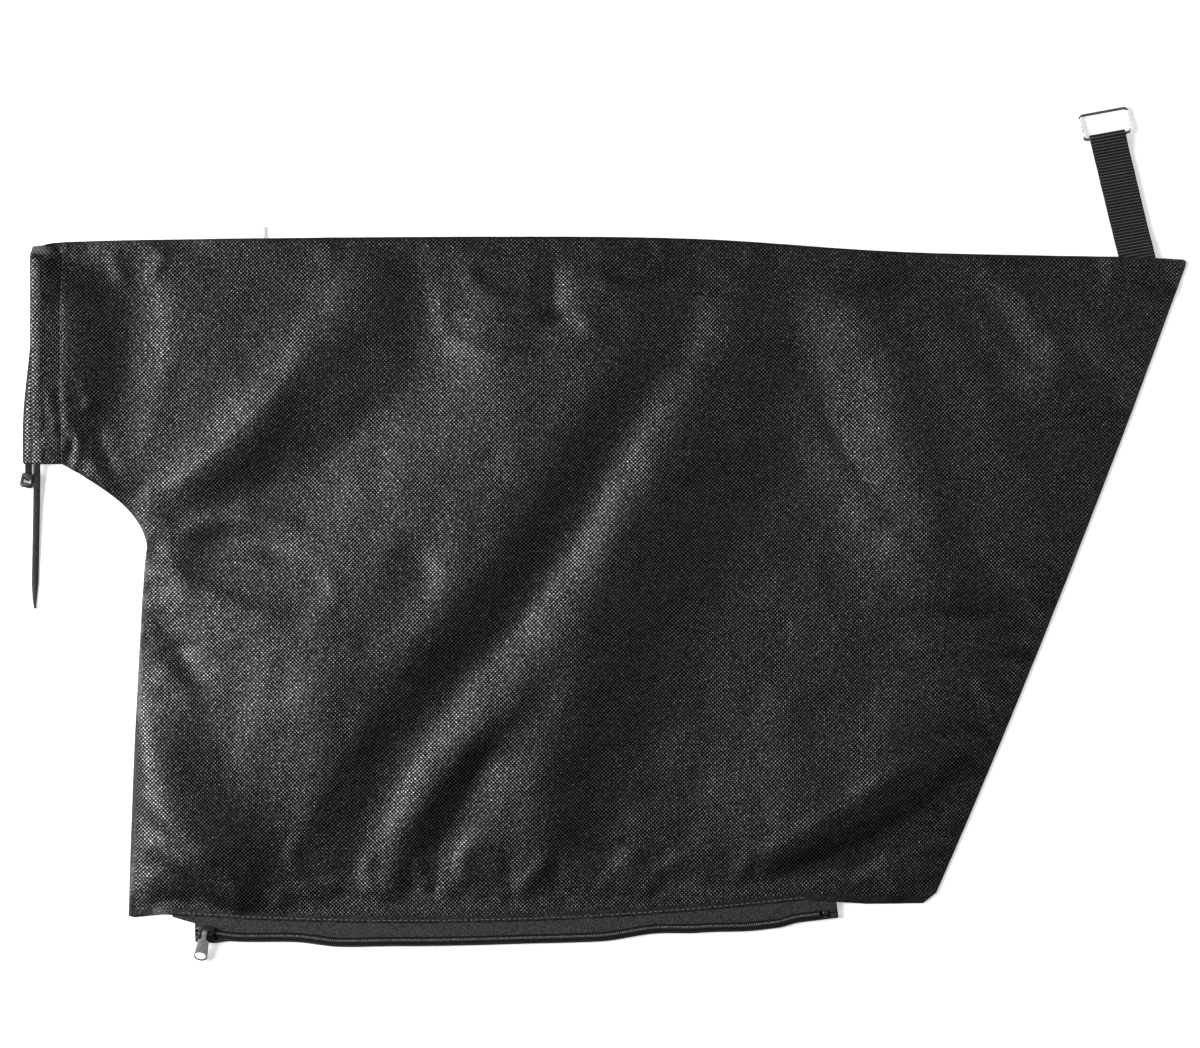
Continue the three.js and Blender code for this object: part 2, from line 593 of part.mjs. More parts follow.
function zipSteps(from, to) {
  const stops = [from, turnFrom, (turnFrom + turnTo) / 2, turnTo, sliderNose + sliderLength,
    sliderNose + 2 * sliderLength, to];
  const kept = stops.filter((s) => s >= from && s <= to);
  return gridLines(kept, 3.2).filter((s, n, all) => s < sliderNose + 14 || s === all.at(-1)
    || Math.round(n / 4) * 4 === n);
}

// How much of the back tape is turned up at the slanted end
const tapeTurn = 3;

function frontTape() {
  const steps = zipSteps(zipFrom, zipTo);
  const inner = panelEdge - (tapeWidth - tapeShown);
  const sections = steps.map((along) => {
    const slanted = slantedEnd(along) - tapeTurn - gap;
    const outer = lerp(-2 * closedHalf - parted(along) + 0.1, slanted, turnedIn(along));
    return [vec(inner, chainTapeZ), vec(outer, chainTapeZ), vec(outer, chainTapeZ + tapeThick),
      vec(inner, chainTapeZ + tapeThick)];
  });
  return loft(sections, (i, p) => onZip(steps[i], p.x, p.y));
}

// The back tape lies under the outer row, folds back under it and runs in to the back panel
function backTape() {
  const steps = zipSteps(zipFrom, zipTo);
  const middle = (chainTapeZ + tapeThick + backTapeZ) / 2;
  const turn = (chainTapeZ - backTapeZ) / 2;
  const sections = steps.map((along) => {
    const wide = sliderWidth / 2 + gap - coilWidth - closedHalf;
    const fold = lerp(wide, tapeFold, smooth((along - sliderNose - sliderLength) / 12));
    const turned = turnedIn(along);
    const slanted = slantedEnd(along);
    const out = lerp(coilWidth + closedHalf + fold, slanted - turn - tapeThick / 2, turned);
    const bend = arcPoints(out, middle, turn, 90, -90, 4);
    const start = lerp(closedHalf * 2 + parted(along) - 0.1, slanted - tapeTurn, turned);
    const inner = panelEdge - (tapeWidth - tapeShown);
    return band([vec(start, chainTapeZ + tapeThick / 2), ...bend, vec(inner, backTapeZ + tapeThick / 2)],
      tapeThick);
  });
  return loft(sections, (i, p) => onZip(steps[i], p.x, p.y));
}

function coilRow(side) {
  const steps = zipSteps(topStopAlong + stopLength / 2 + gap, zipToStop - stopLength / 2 - gap);
  const half = coilHeight / 2;
  const sections = steps.map((along) => {
    const near = closedHalf + parted(along);
    const far = near + coilWidth;
    const crest = 0.35 * coilHeight;
    const shape = [vec(near, -half), vec(far, -half), vec(far, half - crest / 2),
      vec(far - 0.6, half), vec(near + 0.2, half)];
    return shape.map((p) => vec(side * p.x, coilZ + half + p.y));
  });
  return loft(sections, (i, p) => onZip(steps[i], p.x, p.y));
}

function stopBlock(along, outward, width) {
  const section = [vec(-0.5, 0), vec(0.5, 0), vec(0.5, 0.7), vec(0.32, 1), vec(-0.32, 1), vec(-0.5, 0.7)];
  const ends = [-0.5, 0.5].map(() => section);
  return loft(ends, (i, p) => onZip(
    along + (i - 0.5) * stopLength, outward + p.x * width, coilZ + p.y * coilHeight));
}

// The top stops sit in the slider's mouth, on either side of its post
const topStopAlong = sliderNose + stopLength / 2;
const topStopOut = closedHalf + postWidth / 2 + gap + coilWidth / 2;

// Slider, drawn with the zip along X and its middle at the origin, then set on the zip's arc
function sliderPlan(inset = 0) {
  const half = sliderLength / 2 - inset;
  const wide = sliderWidth / 2 - inset;
  const tail = sliderTail / 2 - inset;
  return [vec(half, -tail), vec(half, tail), vec(0, wide - 0.3), vec(-half * 0.6, wide),
    vec(-half * 0.95, wide * 0.72), vec(-half * 0.72, wide * 0.3), vec(-half, 0),
    vec(-half * 0.72, -wide * 0.3), vec(-half * 0.95, -wide * 0.72), vec(-half * 0.6, -wide),
    vec(0, -wide + 0.3)];
}

function sliderFlange(side) {
  const half = sliderLength / 2;
  const closed = coilWidth + closedHalf + gap;
  const open = closed + postWidth / 2 + gap;
  const plan = [vec(half, side * closed), vec(half, side * sliderTail / 2),
    vec(0, side * (sliderWidth / 2 - 0.3)), vec(-half * 0.6, side * sliderWidth / 2),
    vec(-half * 0.6, side * open), vec(half * 0.3, side * closed)];
  return prism(plan, overTape, topPlateZ + 0.1);
}

function sliderPost() {
  const nose = -sliderLength / 2;
  const half = postWidth / 2;
  const plan = [vec(nose + 0.2, 0), vec(nose + postLength * 0.4, -half), vec(nose + postLength, 0),
    vec(nose + postLength * 0.4, half)];
  return prism(plan, bottomPlateZ + 0.1, topPlateZ + 0.1);
}

const plateTop = topPlateZ + plateThick;
const bridgeZ = plateTop + bridgeRise + bridgeThick / 2;

// The bridge is a bar along the slider on two feet, which the tab's eye goes round
function sliderBridge() {
  const half = bridgeLength / 2;
  const path = [vec(-half, plateTop - 0.4), vec(-half, bridgeZ - 0.9), vec(-half + 0.9, bridgeZ),
    vec(half - 0.9, bridgeZ), vec(half, bridgeZ - 0.9), vec(half, plateTop - 0.4)];
  const shape = new THREE.Shape(band(path, bridgeThick));
  const solid = new THREE.ExtrudeGeometry(shape, { depth: bridgeThick, bevelEnabled: false });
  return solid.translate(0, 0, -bridgeThick / 2).rotateX(Math.PI / 2);
}

const eyeInner = bridgeThick * Math.SQRT1_2 + gap;
const eyeOuter = eyeInner + tabEye;
// The tab rests on the slider's edge
const tabDrop = Math.atan(
  (bridgeRise + bridgeThick / 2 - 0.6 * tabThick - gap) / (sliderWidth / 2 + 0.5)) / degrees;

// Pull tab, drawn along +X from the bridge's middle, with its eye round the Y axis
function pullTab() {
  const half = tabWidth / 2;
  const shoulder = tabShoulder / 2;
  const neck = 1.6;
  const tip = new THREE.EllipseCurve(tabLength - tabTip, 0, tabTip, half, -Math.PI / 2, Math.PI / 2);
  const plan = [vec(eyeOuter - 0.6, -neck), vec(eyeOuter + 1.6, -neck), vec(eyeOuter + 2.6, -shoulder),
    ...tip.getPoints(12), vec(eyeOuter + 2.6, shoulder), vec(eyeOuter + 1.6, neck),
    vec(eyeOuter - 0.6, neck)];
  const blade = toSolid(prism(plan, -tabThick / 2, tabThick / 2));
  const rod = (radius, length) => toSolid(new THREE.CylinderGeometry(radius, radius, length, 16));
  const eye = rod(eyeOuter, 2 * neck).subtract(rod(eyeInner, 4 * neck));
  return toGeometry(blade.add(eye));
}

// Hanging strap: one length of webbing, folded round the ring's bar and sewn into the seam

const bendRise = gap + wire / 2;
const barZ = strapThick + bendRise;

// The strap is skewed a little: its ribs and the ring lean less than its length does
function alongStrap(distance) {
  const lean = strapLean * degrees;
  return vec(strapRoot.x - Math.sin(lean) * distance, strapRoot.y + Math.cos(lean) * distance);
}

function hangingStrap() {
  const half = strapThick / 2;
  const lower = [vec(-strapSewn, seamZ + half), vec(strapClear, seamZ + half),
    vec(strapClear + 12, half), vec(strapLength * 0.35, half), vec(strapLength * 0.6, half),
    vec(strapLength * 0.85, half), vec(strapLength - 3, half)];
  const turn = arcPoints(strapLength, barZ, bendRise + half, -90, 90, 8);
  const rest = 3 * half + gap;
  const upper = [vec(strapLength - 3, barZ + bendRise + half - 0.2), vec(strapLength - 9, rest + 1.2),
    vec(strapLength - 16, rest), vec(strapLength * 0.6, rest), vec(strapLength * 0.35, rest),
    vec(strapClear + 12, rest), vec(strapClear, rest + seamZ), vec(-strapSewn, rest + seamZ)];
  const profile = band([...lower, ...turn, ...upper], strapThick);
  const widths = [-0.5, 0, 0.5];
  const across = vec(Math.cos(ringLean * degrees), Math.sin(ringLean * degrees));
  return loft(widths.map(() => profile), (i, p) => {
    const { x, y } = alongStrap(p.x).addScaledVector(across, widths[i] * strapWidth);
    return new THREE.Vector3(x, y, p.y);
  });
}

// Ring of bent wire, drawn with its lower bar on the X axis
function strapRing() {
  const half = (ringWidth - wire) / 2;
  const height = ringHeight - wire;
  const radius = ringCorner - wire / 2;
  const path = [
    ...arcPoints(half - radius, radius, radius, -90, 0, 4),
    ...arcPoints(half - radius, height - radius, radius, 0, 90, 4),
    ...arcPoints(-half + radius, height - radius, radius, 90, 180, 4),
    ...arcPoints(-half + radius, radius, radius, 180, 270, 4)];
  const sides = 12;
  const circle = arcPoints(0, 0, wire / 2, 0, 360 - 360 / sides, sides - 1);
  return loft(path.map(() => circle), (i, p) => {
    const before = path[(i + path.length - 1) % path.length];
    const after = path[(i + 1) % path.length];
    const along = after.clone().sub(before).normalize();
    return new THREE.Vector3(path[i].x + along.y * p.x, path[i].y - along.x * p.x, p.y);
  }, true);
}

// Blank label: a short ribbon folded double, its fold outside the seam
function blankLabel() {
  const half = labelThick / 2;
  const low = seamZ + half;
  const high = low + labelThick + gap;
  const fold = arcPoints(labelShown - 0.35, (low + high) / 2, (high - low) / 2, -90, 90, 4);
  const profile = band([vec(-labelSewn, low), ...fold, vec(-labelSewn, high)], labelThick);
  const sides = [-0.5, 0.5];
  return loft(sides.map(() => profile), (i, p) => new THREE.Vector3(
    labelRoot.x + sides[i] * labelWidth, labelRoot.y + p.x, p.y));
}

// Cable tie: its head, its strap through both hems and its free tail are one moulding

const tieX = mouthX + tieInset;
const backRunZ = cloth + tunnelHeight / 2;
const frontRunZ = (y) => hemHeight(y) - tunnelHeight / 2;

function tiePath() {
  const path = [];
  const add = (x, y, z, width = tieWidth) => path.push({ point: new THREE.Vector3(x, y, z), width });
  add(tieX - bulge(neckFoot), neckFoot - tieHeadOut - 1, backRunZ);
  for (const y of hemLines) add(tieX - bulge(y), y, backRunZ);
  const middle = (backRunZ + frontRunZ(bendY)) / 2;
  const radius = (frontRunZ(bendY) - backRunZ) / 2;
  for (let angle = -72; angle <= 72; angle += 18) {
    const turn = angle * degrees;
    add(tieX, bendY + radius * Math.cos(turn), middle + radius * Math.sin(turn));
  }
  for (const y of [...hemLines].reverse()) add(tieX, y, frontRunZ(y));
  const droop = [[0.14, 0.62], [0.3, 0.3], [0.5, 0.1], [0.7, 0], [1 - tieTip / tieTail, 0]];
  const start = frontRunZ(neckFoot);
  for (const [share, fall] of droop) {
    add(tieX - 2.4 * share, neckFoot - share * tieTail, lerp(tieThick / 2, start, fall));
  }
  add(tieX - 2.2, neckFoot - tieTail + tieTip * 0.35, tieThick / 2, tieWidth * 0.62);
  add(tieX - 2, neckFoot - tieTail, tieThick / 2, tieWidth * 0.24);
  return path;
}

function tieStrap() {
  const path = tiePath();
  const half = tieThick / 2;
  const unit = [vec(-1, -1), vec(1, -1), vec(1, 1), vec(-1, 1)];
  return loft(path.map(() => unit), (i, p) => {
    const before = path[Math.max(i - 1, 0)].point;
    const after = path[Math.min(i + 1, path.length - 1)].point;
    const along = after.clone().sub(before).normalize();
    const side = new THREE.Vector3(1, 0, 0).addScaledVector(along, -along.x).normalize();
    const up = side.clone().cross(along).normalize();
    return path[i].point.clone().addScaledVector(side, (p.x * path[i].width) / 2).addScaledVector(up, p.y * half);
  });
}

// The head is a box with chamfered edges and a slot through it for the tail
function tieHead() {
  const wide = tieHeadWidth / 2;
  const long = tieHeadLength / 2;
  const ease = 1.4;
  const plan = [vec(-wide, -long + ease), vec(-wide + ease, -long), vec(wide - ease, -long),
    vec(wide, -long + ease), vec(wide, long - ease), vec(wide - ease * 1.6, long),
    vec(-wide + ease * 1.6, long), vec(-wide, long - ease)];
  const block = toSolid(prism(plan, 0, tieHeadHeight));
  const slot = new THREE.BoxGeometry(tieWidth + 0.8, tieThick + 1.2, 3 * tieHeadHeight);
  const pawl = new THREE.BoxGeometry(tieWidth - 1.4, 1, tieHeadHeight * 0.5);
  const cut = block.subtract(toSolid(slot.translate(0, -0.8, 0)));
  const head = cut.add(toSolid(pawl.translate(0, 0.2, tieHeadHeight * 0.5)));
  const lean = -12 * degrees;
  return toGeometry(head).rotateZ(lean).translate(
    tieX - bulge(neckFoot) - 0.6, neckFoot - tieHeadOut - long, 0);
}

const cableTie = () => joined([tieStrap(), tieHead()]);

// The assembly

const finish = (color, roughness, metalness = 0) => () => (
  new THREE.MeshStandardMaterial({ color, roughness, metalness }));
const clothFinish = finish(0x2b2b2d, 0.62);
const tapeFinish = finish(0x242426, 0.85);
const nylonFinish = finish(0x17171a, 0.45);
const webbingFinish = finish(0x141416, 0.9);
const nickelFinish = finish(0xd9dbdd, 0.18, 1);
const gunmetalFinish = finish(0x5c5e62, 0.35, 1);
const satinFinish = finish(0xf2f2f0, 0.6);

const bag = new THREE.Group();

function addPiece(name, geometry, material, parent = bag) {
  const piece = new THREE.Mesh(geometry, material());
  piece.name = name;
  parent.add(piece);
  return piece;
}

addPiece('front_panel', frontPanel(), clothFinish);
addPiece('back_panel', backPanel(), clothFinish);
addPiece('zip_tape_front', frontTape(), tapeFinish);
addPiece('zip_tape_back', backTape(), tapeFinish);
addPiece('zip_coil_front', coilRow(-1), nylonFinish);
addPiece('zip_coil_back', coilRow(1), nylonFinish);
addPiece('zip_top_stop_front', stopBlock(topStopAlong, -topStopOut, stopWidth), gunmetalFinish);
addPiece('zip_top_stop_back', stopBlock(topStopAlong, topStopOut, stopWidth), gunmetalFinish);
addPiece('zip_bottom_stop', stopBlock(zipToStop, 0, 2 * coilWidth + 0.6), gunmetalFinish);

const sliderSeat = new THREE.Group();
sliderSeat.position.copy(onZip(-zipFromMiddle, 0, 0));
sliderSeat.rotation.z = -zipFromMiddle / zipRadius;
bag.add(sliderSeat);
addPiece('zip_slider', joined([
  prism(sliderPlan(), topPlateZ, plateTop), prism(sliderPlan(0.2), bottomPlateZ, bottomPlateZ + plateThick),
  sliderPost(), sliderFlange(1), sliderFlange(-1), sliderBridge()]), gunmetalFinish, sliderSeat);
const tabSeat = new THREE.Group();
tabSeat.position.z = bridgeZ;
tabSeat.rotation.set(0, 0, (-90 - tabLean) * degrees);
sliderSeat.add(tabSeat);
const tab = addPiece('zip_pull_tab', pullTab(), gunmetalFinish, tabSeat);
tab.rotation.y = tabDrop * degrees;

addPiece('hanging_strap', hangingStrap(), webbingFinish);
const ringPlace = alongStrap(strapLength);
const ring = addPiece('strap_ring', strapRing(), nickelFinish);
ring.position.set(ringPlace.x, ringPlace.y, barZ);
ring.rotation.order = 'ZXY';
ring.rotation.z = ringLean * degrees;
ring.rotation.x = -Math.asin((barZ - wire / 2) / (ringHeight - wire));

addPiece('seam_label', blankLabel(), satinFinish);
addPiece('cable_tie', cableTie(), nylonFinish);

bag.updateMatrixWorld(true);
const box = new THREE.Box3().setFromObject(bag, true);
const middle = box.getCenter(new THREE.Vector3());
bag.position.set(-middle.x, -middle.y, -box.min.z);

export default bag;
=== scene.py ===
"""Leaf collection bag of a garden vacuum, lying flat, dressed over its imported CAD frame."""
from math import ceil, cos, hypot, pi, radians, sin

import bmesh
import bpy
import numpy as np
from mathutils import Matrix, Vector


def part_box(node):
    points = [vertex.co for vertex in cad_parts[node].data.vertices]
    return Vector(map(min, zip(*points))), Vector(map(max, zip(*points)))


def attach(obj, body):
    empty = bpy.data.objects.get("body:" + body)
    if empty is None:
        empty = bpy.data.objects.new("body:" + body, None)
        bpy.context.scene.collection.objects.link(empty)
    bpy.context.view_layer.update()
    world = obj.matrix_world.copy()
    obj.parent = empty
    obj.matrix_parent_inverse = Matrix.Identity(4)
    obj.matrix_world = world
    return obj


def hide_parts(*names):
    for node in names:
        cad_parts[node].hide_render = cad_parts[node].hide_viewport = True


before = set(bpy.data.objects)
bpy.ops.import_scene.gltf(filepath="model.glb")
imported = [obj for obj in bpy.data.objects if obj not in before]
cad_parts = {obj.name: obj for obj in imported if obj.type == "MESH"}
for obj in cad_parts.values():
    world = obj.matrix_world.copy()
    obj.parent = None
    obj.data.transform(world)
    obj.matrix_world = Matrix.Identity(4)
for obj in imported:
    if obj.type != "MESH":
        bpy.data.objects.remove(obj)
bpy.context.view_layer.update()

MM = 0.001

# The picture that the bag is matched to: its scale, and where the bag lies in it
PIXEL = 0.70  # millimetres to a pixel
PICTURE_WIDTH = 1200
PICTURE_MIDDLE = (600, 524)  # pixel at the middle of the picture
MOUTH_PX = 33  # pixel column of the neck's mouth
SEAM_PX = 240  # pixel row of the top seam

# Sizes of the bag, in millimetres
BAG_LENGTH = 808
BAG_DEPTH = 489
NECK_WIDTH = 152
NECK_LENGTH = 80
NECK_CURVE = 58
LEFT_LEAN = 13
RIGHT_SLANT = 179
RIGHT_BOW = 4
LEFT_FOOT = 16
RIGHT_FOOT = 25
MOUTH_DROP = 5
CORNER_DROP = 14
CLOTH = 0.6
GAP = 0.3
HEM_WIDTH = 21
TUNNEL = 2.4
MOUTH_HEIGHT = 8.4
ZIP_RADIUS = 2365
ZIP_MIDDLE = -140
CHAIN_HALF = 2.4
TAPE_SHOWN = 8.6
PANEL_EDGE = -(CHAIN_HALF + TAPE_SHOWN)
SLIDER_AT = -143  # along the zip's arc from its lowest point
STOP_AT = 291
ZIP_FROM = SLIDER_AT - 24
ZIP_TO = STOP_AT + 9
TAPE_HIDDEN = 5.4  # tape under the panel
TAPE_THICK = 0.5
HEM_BULGE = 6.4
TAB_LEAN = 8  # degrees off square to the slider
TAB_DROP = 18.4  # degrees below the level
SEAM_Z = CLOTH + GAP
BACK_TAPE_Z = 0.9  # levels of the zip's undersides
CHAIN_TAPE_Z = 3.1
COIL_Z = 3.9
COIL_HEIGHT = 2

# How the front panel stands up off the back one, and over what lengths from a seam each part rises
PUFF = 8
PUFF_RISE = 58
FOLD_RISE = 36
CREASE_RISE = 4
WAVE_RISE = 20
LEAST_PUFF = 1.2
LEAST_RISE = 13
COVER_SLOPE = 20  # lengths of its slopes beside the strap and label, and beside the zip's tape
TAPE_SLOPE = 24
DEEPEST_CREASE = 0.8  # by which a crease may go below the hem and the folds
HEM_RIDGE = (6, 1.9, 0.5)  # along the mouth: how far in, half width and height
STITCH_GROOVE = (1.1, 0.35)  # half width and depth
TIE_SPAN = 7.4  # mouth edge to the far side of the cable tie's tunnel
NECK_FALL = 52  # length over which the neck comes down from the hem
HEM_FALL = 1.1  # fall of the hem's top from its crown to the stitch line

# The frame's own place of the drawing's zero, which is half way along the top seam
low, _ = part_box("front_panel")
ZERO_X = low[0] / MM + BAG_LENGTH / 2
ZERO_Y = low[1] / MM + BAG_DEPTH + PANEL_EDGE
MOUTH_X = -BAG_LENGTH / 2
CORNER_X = BAG_LENGTH / 2
STITCH_X = MOUTH_X + HEM_WIDTH
BODY_X = MOUTH_X + NECK_LENGTH
NECK_FOOT = -MOUTH_DROP - NECK_WIDTH


def at(px, py):
    """Place on the drawing, in millimetres, of a pixel of the picture."""
    return MOUTH_X + (px - MOUTH_PX) * PIXEL, (SEAM_PX - py) * PIXEL


def smooth(value):
    value = np.clip(value, 0, 1)
    return value * value * (3 - 2 * value)


def mix(a, b, share):
    return a + (b - a) * share


# Small helpers for pieces and materials

def placed_mesh(name, mesh):
    """Makes an object of a bmesh whose places are already the frame's."""
    data = bpy.data.meshes.new(name)
    mesh.to_mesh(data)
    mesh.free()
    for face in data.polygons:
        face.use_smooth = True
    piece = bpy.data.objects.new(name, data)
    bpy.context.scene.collection.objects.link(piece)
    return piece


def finish_mesh(name, mesh):
    """Makes an object of a bmesh drawn in millimetres about the drawing's zero."""
    bmesh.ops.transform(mesh, verts=mesh.verts, matrix=Matrix.Translation((ZERO_X, ZERO_Y, 0)))
    bmesh.ops.transform(mesh, verts=mesh.verts, matrix=Matrix.Scale(MM, 4))
    return placed_mesh(name, mesh)


def dress(piece, body, material, replaces=None):
    piece.data.materials.clear()
    piece.data.materials.append(material)
    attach(piece, body)
    if replaces:
        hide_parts(replaces)
    return piece


# Places of the colour sockets on a Mix node
MIX_SHARE, MIX_LOW, MIX_HIGH, MIX_RESULT = 0, 6, 7, 2


def grey(level, blue=1.02):
    """A grey, a touch cold unless it is said to be neutral or warm."""
    return level, level, level * blue


class Shading:
    """A Principled material and short names for the nodes that feed it."""

    def __init__(self, name, color, roughness, metallic=0.0, specular=0.5):
        self.material = bpy.data.materials.new(name)
        self.material.use_nodes = True
        self.tree = self.material.node_tree
        self.shader = self.tree.nodes["Principled BSDF"]
        self.set("Base Color", (*color, 1))
        self.set("Roughness", roughness)
        self.set("Metallic", metallic)
        self.set("Specular IOR Level", specular)

    def set(self, socket, value):
        self.shader.inputs[socket].default_value = value

    def node(self, kind, inputs=(), **settings):
        node = self.tree.nodes.new("ShaderNode" + kind)
        for key, value in settings.items():
            setattr(node, key, value)
        for socket, value in dict(inputs).items():
            if isinstance(value, bpy.types.NodeSocket):
                self.tree.links.new(value, node.inputs[socket])
            else:
                node.inputs[socket].default_value = value
        return node

    def math(self, operation, *values):
        return self.node("Math", enumerate(values), operation=operation).outputs[0]

    def vector(self, operation, *values):
        return self.node("VectorMath", enumerate(values), operation=operation).outputs[0]

    def ramp(self, value, stops, blue=1.02):
        """Grey that runs through the stops, each a place and a level."""
        node = self.node("ValToRGB", {"Fac": value})
        while len(node.color_ramp.elements) < len(stops):
            node.color_ramp.elements.new(1)
        for element, (place, level) in zip(node.color_ramp.elements, stops):
            element.position = place
            element.color = (*grey(level, blue), 1)
        return node.outputs["Color"]

    def span(self, value, from_low, from_high, to_low, to_high, soft=True):
        kind = "SMOOTHSTEP" if soft else "LINEAR"
        ends = {"Value": value, "From Min": from_low, "From Max": from_high,
                "To Min": to_low, "To Max": to_high}
        return self.node("MapRange", ends, interpolation_type=kind).outputs["Result"]

    def blend(self, share, low, high):
        """Mix of two colours."""
        sockets = {MIX_SHARE: share, MIX_LOW: low, MIX_HIGH: high}
        return self.node("Mix", sockets, data_type="RGBA").outputs[MIX_RESULT]

    def noise(self, scale, detail, roughness):
        """Noise over the piece, with so many grains to a metre."""
        inputs = {"Vector": self.place(), "Scale": scale, "Detail": detail, "Roughness": roughness}
        return self.node("TexNoise", inputs).outputs["Fac"]

    def place(self):
        return self.node("TexCoord").outputs["Object"]

    def feed(self, socket, value):
        self.tree.links.new(value, self.shader.inputs[socket])

    def tint(self, value, *stops, blue=1.02):
        self.feed("Base Color", self.ramp(value, stops, blue))

    def bump(self, height, distance, under=None):
        inputs = {"Height": height, "Distance": distance, "Strength": 1}
        if under:
            inputs["Normal"] = under
        return self.node("Bump", inputs).outputs["Normal"]


# Camera, lights and floor

CAMERA_HEIGHT = 3.2  # metres
FILM = 36  # width of the camera's film, in millimetres
WORLD_LIGHT = 0.09
FLOOR_GLOW = 0.45  # the floor's own light, which only the camera and mirrors see
FLOOR_SIZE = 6000

# Lamps, in metres: place, width and depth, and watts
LAMPS = {
    "key": ((-2.0, 0.15, 1.45), (1.2, 1.5), 103),
    "fill": ((1.6, 0.5, 1.4), (1.2, 1.2), 10),
}


def add_camera():
    data = bpy.data.cameras.new("camera")
    data.sensor_width = FILM
    data.lens = FILM * CAMERA_HEIGHT / (PICTURE_WIDTH * PIXEL * MM)
    camera = bpy.data.objects.new("camera", data)
    x, y = at(*PICTURE_MIDDLE)
    camera.location = ((x + ZERO_X) * MM, (y + ZERO_Y) * MM, CAMERA_HEIGHT)
    bpy.context.scene.collection.objects.link(camera)
    bpy.context.scene.camera = camera


def add_lamp(name, place, size, watts):
    """A soft lamp that faces the middle of the floor."""
    data = bpy.data.lights.new(name, "AREA")
    data.shape = "RECTANGLE"
    data.size, data.size_y = size
    data.energy = watts
    lamp = bpy.data.objects.new(name, data)
    lamp.location = place
    lamp.rotation_euler = (-Vector(place)).to_track_quat("-Z", "Y").to_euler()
    bpy.context.scene.collection.objects.link(lamp)


def add_world():
    world = bpy.data.worlds.new("studio")
    bpy.context.scene.world = world
    world.use_nodes = True
    background = world.node_tree.nodes["Background"]
    background.inputs["Color"].default_value = (0.95, 0.97, 1, 1)
    background.inputs["Strength"].default_value = WORLD_LIGHT


def add_floor():
    mesh = bmesh.new()
    bmesh.ops.create_grid(mesh, x_segments=1, y_segments=1, size=FLOOR_SIZE)
    floor = finish_mesh("floor", mesh)
    table = Shading("white_table", grey(0.82, 1), 0.8, specular=0.1)
    path = table.node("LightPath")
    seen = table.math("MAXIMUM", path.outputs["Is Camera Ray"], path.outputs["Is Glossy Ray"])
    seen = table.math("MAXIMUM", seen, path.outputs["Is Transmission Ray"])
    table.set("Emission Color", (1, 1, 1, 1))
    table.feed("Emission Strength", table.math("MULTIPLY", seen, FLOOR_GLOW))
    floor.data.materials.append(table.material)


# The bag's outline, counter-clockwise, as it was drawn for the frame

def curve_points(points, count):
    """Even steps along a smooth curve through the points."""
    points = [np.array(p, float) for p in points]
    points = [2 * points[0] - points[1], *points, 2 * points[-1] - points[-2]]
    line = []
    for a, b, c, d in zip(points, points[1:], points[2:], points[3:]):
        for t in np.arange(count) / count:
            line.append(0.5 * (2 * b + (c - a) * t + (2 * a - 5 * b + 4 * c - d) * t ** 2
                               + (3 * b - a - 3 * c + d) * t ** 3))
    line.append(points[-2])
    return line


def bezier(*points, count):
    """Even steps along a curve that is pulled to the points between its ends."""
    line = []
    for n in range(count + 1):
        left = [np.array(p, float) for p in points]
        while len(left) > 1:
            left = [mix(a, b, n / count) for a, b in zip(left, left[1:])]
        line.append(left[0])
    return line


def on_zip(along, outward):
    angle = along / ZIP_RADIUS
    radius = ZIP_RADIUS + outward
    return np.array((ZIP_MIDDLE + radius * sin(angle), ZIP_RADIUS - BAG_DEPTH - radius * cos(angle)))


def zip_place(x, y):
    dx = x - ZIP_MIDDLE
    dy = ZIP_RADIUS - BAG_DEPTH - y
    return np.arctan2(dx, dy) * ZIP_RADIUS, np.hypot(dx, dy) - ZIP_RADIUS


def top_edge():
    shape = [(0.058, -0.7), (0.36, 2.1), (0.57, 0.7), (0.75, -8.4), (0.94, -12)]
    points = [(MOUTH_X, -MOUTH_DROP)]
    points += [(MOUTH_X + share * BAG_LENGTH, y) for share, y in shape]
    return curve_points([*points, (CORNER_X, -CORNER_DROP)], 16)


def right_edge():
    foot = np.array((CORNER_X - RIGHT_SLANT, -BAG_DEPTH + RIGHT_FOOT))
    top = np.array((CORNER_X, -CORNER_DROP))
    middle = (foot + top) / 2 + np.array((2 * RIGHT_BOW, -RIGHT_BOW / 2))
    return bezier(foot, middle, top, count=60)


def left_edge():
    top = (BODY_X, NECK_FOOT - NECK_CURVE)
    foot = (BODY_X - LEFT_LEAN, -BAG_DEPTH + LEFT_FOOT)
    return bezier(top, (BODY_X - LEFT_LEAN / 3, foot[1] / 2), foot, count=40)


def neck_edge():
    foot = (BODY_X, NECK_FOOT - NECK_CURVE)
    bend = (BODY_X - 2, foot[1] + NECK_CURVE * 0.45)
    return bezier((STITCH_X, NECK_FOOT), (STITCH_X + 22, NECK_FOOT - 12), bend, foot, count=24)


def bottom_edge():
    left = (BODY_X - LEFT_LEAN + 4, -BAG_DEPTH + LEFT_FOOT - 1)
    right = np.array((CORNER_X - RIGHT_SLANT - 6, -BAG_DEPTH + RIGHT_FOOT))
    arc = [on_zip(mix(ZIP_FROM - 6, ZIP_TO - 21, n / 60), PANEL_EDGE) for n in range(61)]
    return [left, *arc, right - np.array((40, 0.5)), right]


EDGES = {
    "top": top_edge(),
    "right": right_edge(),
    "bottom": bottom_edge(),
    "left": left_edge(),
    "neck": neck_edge(),
}


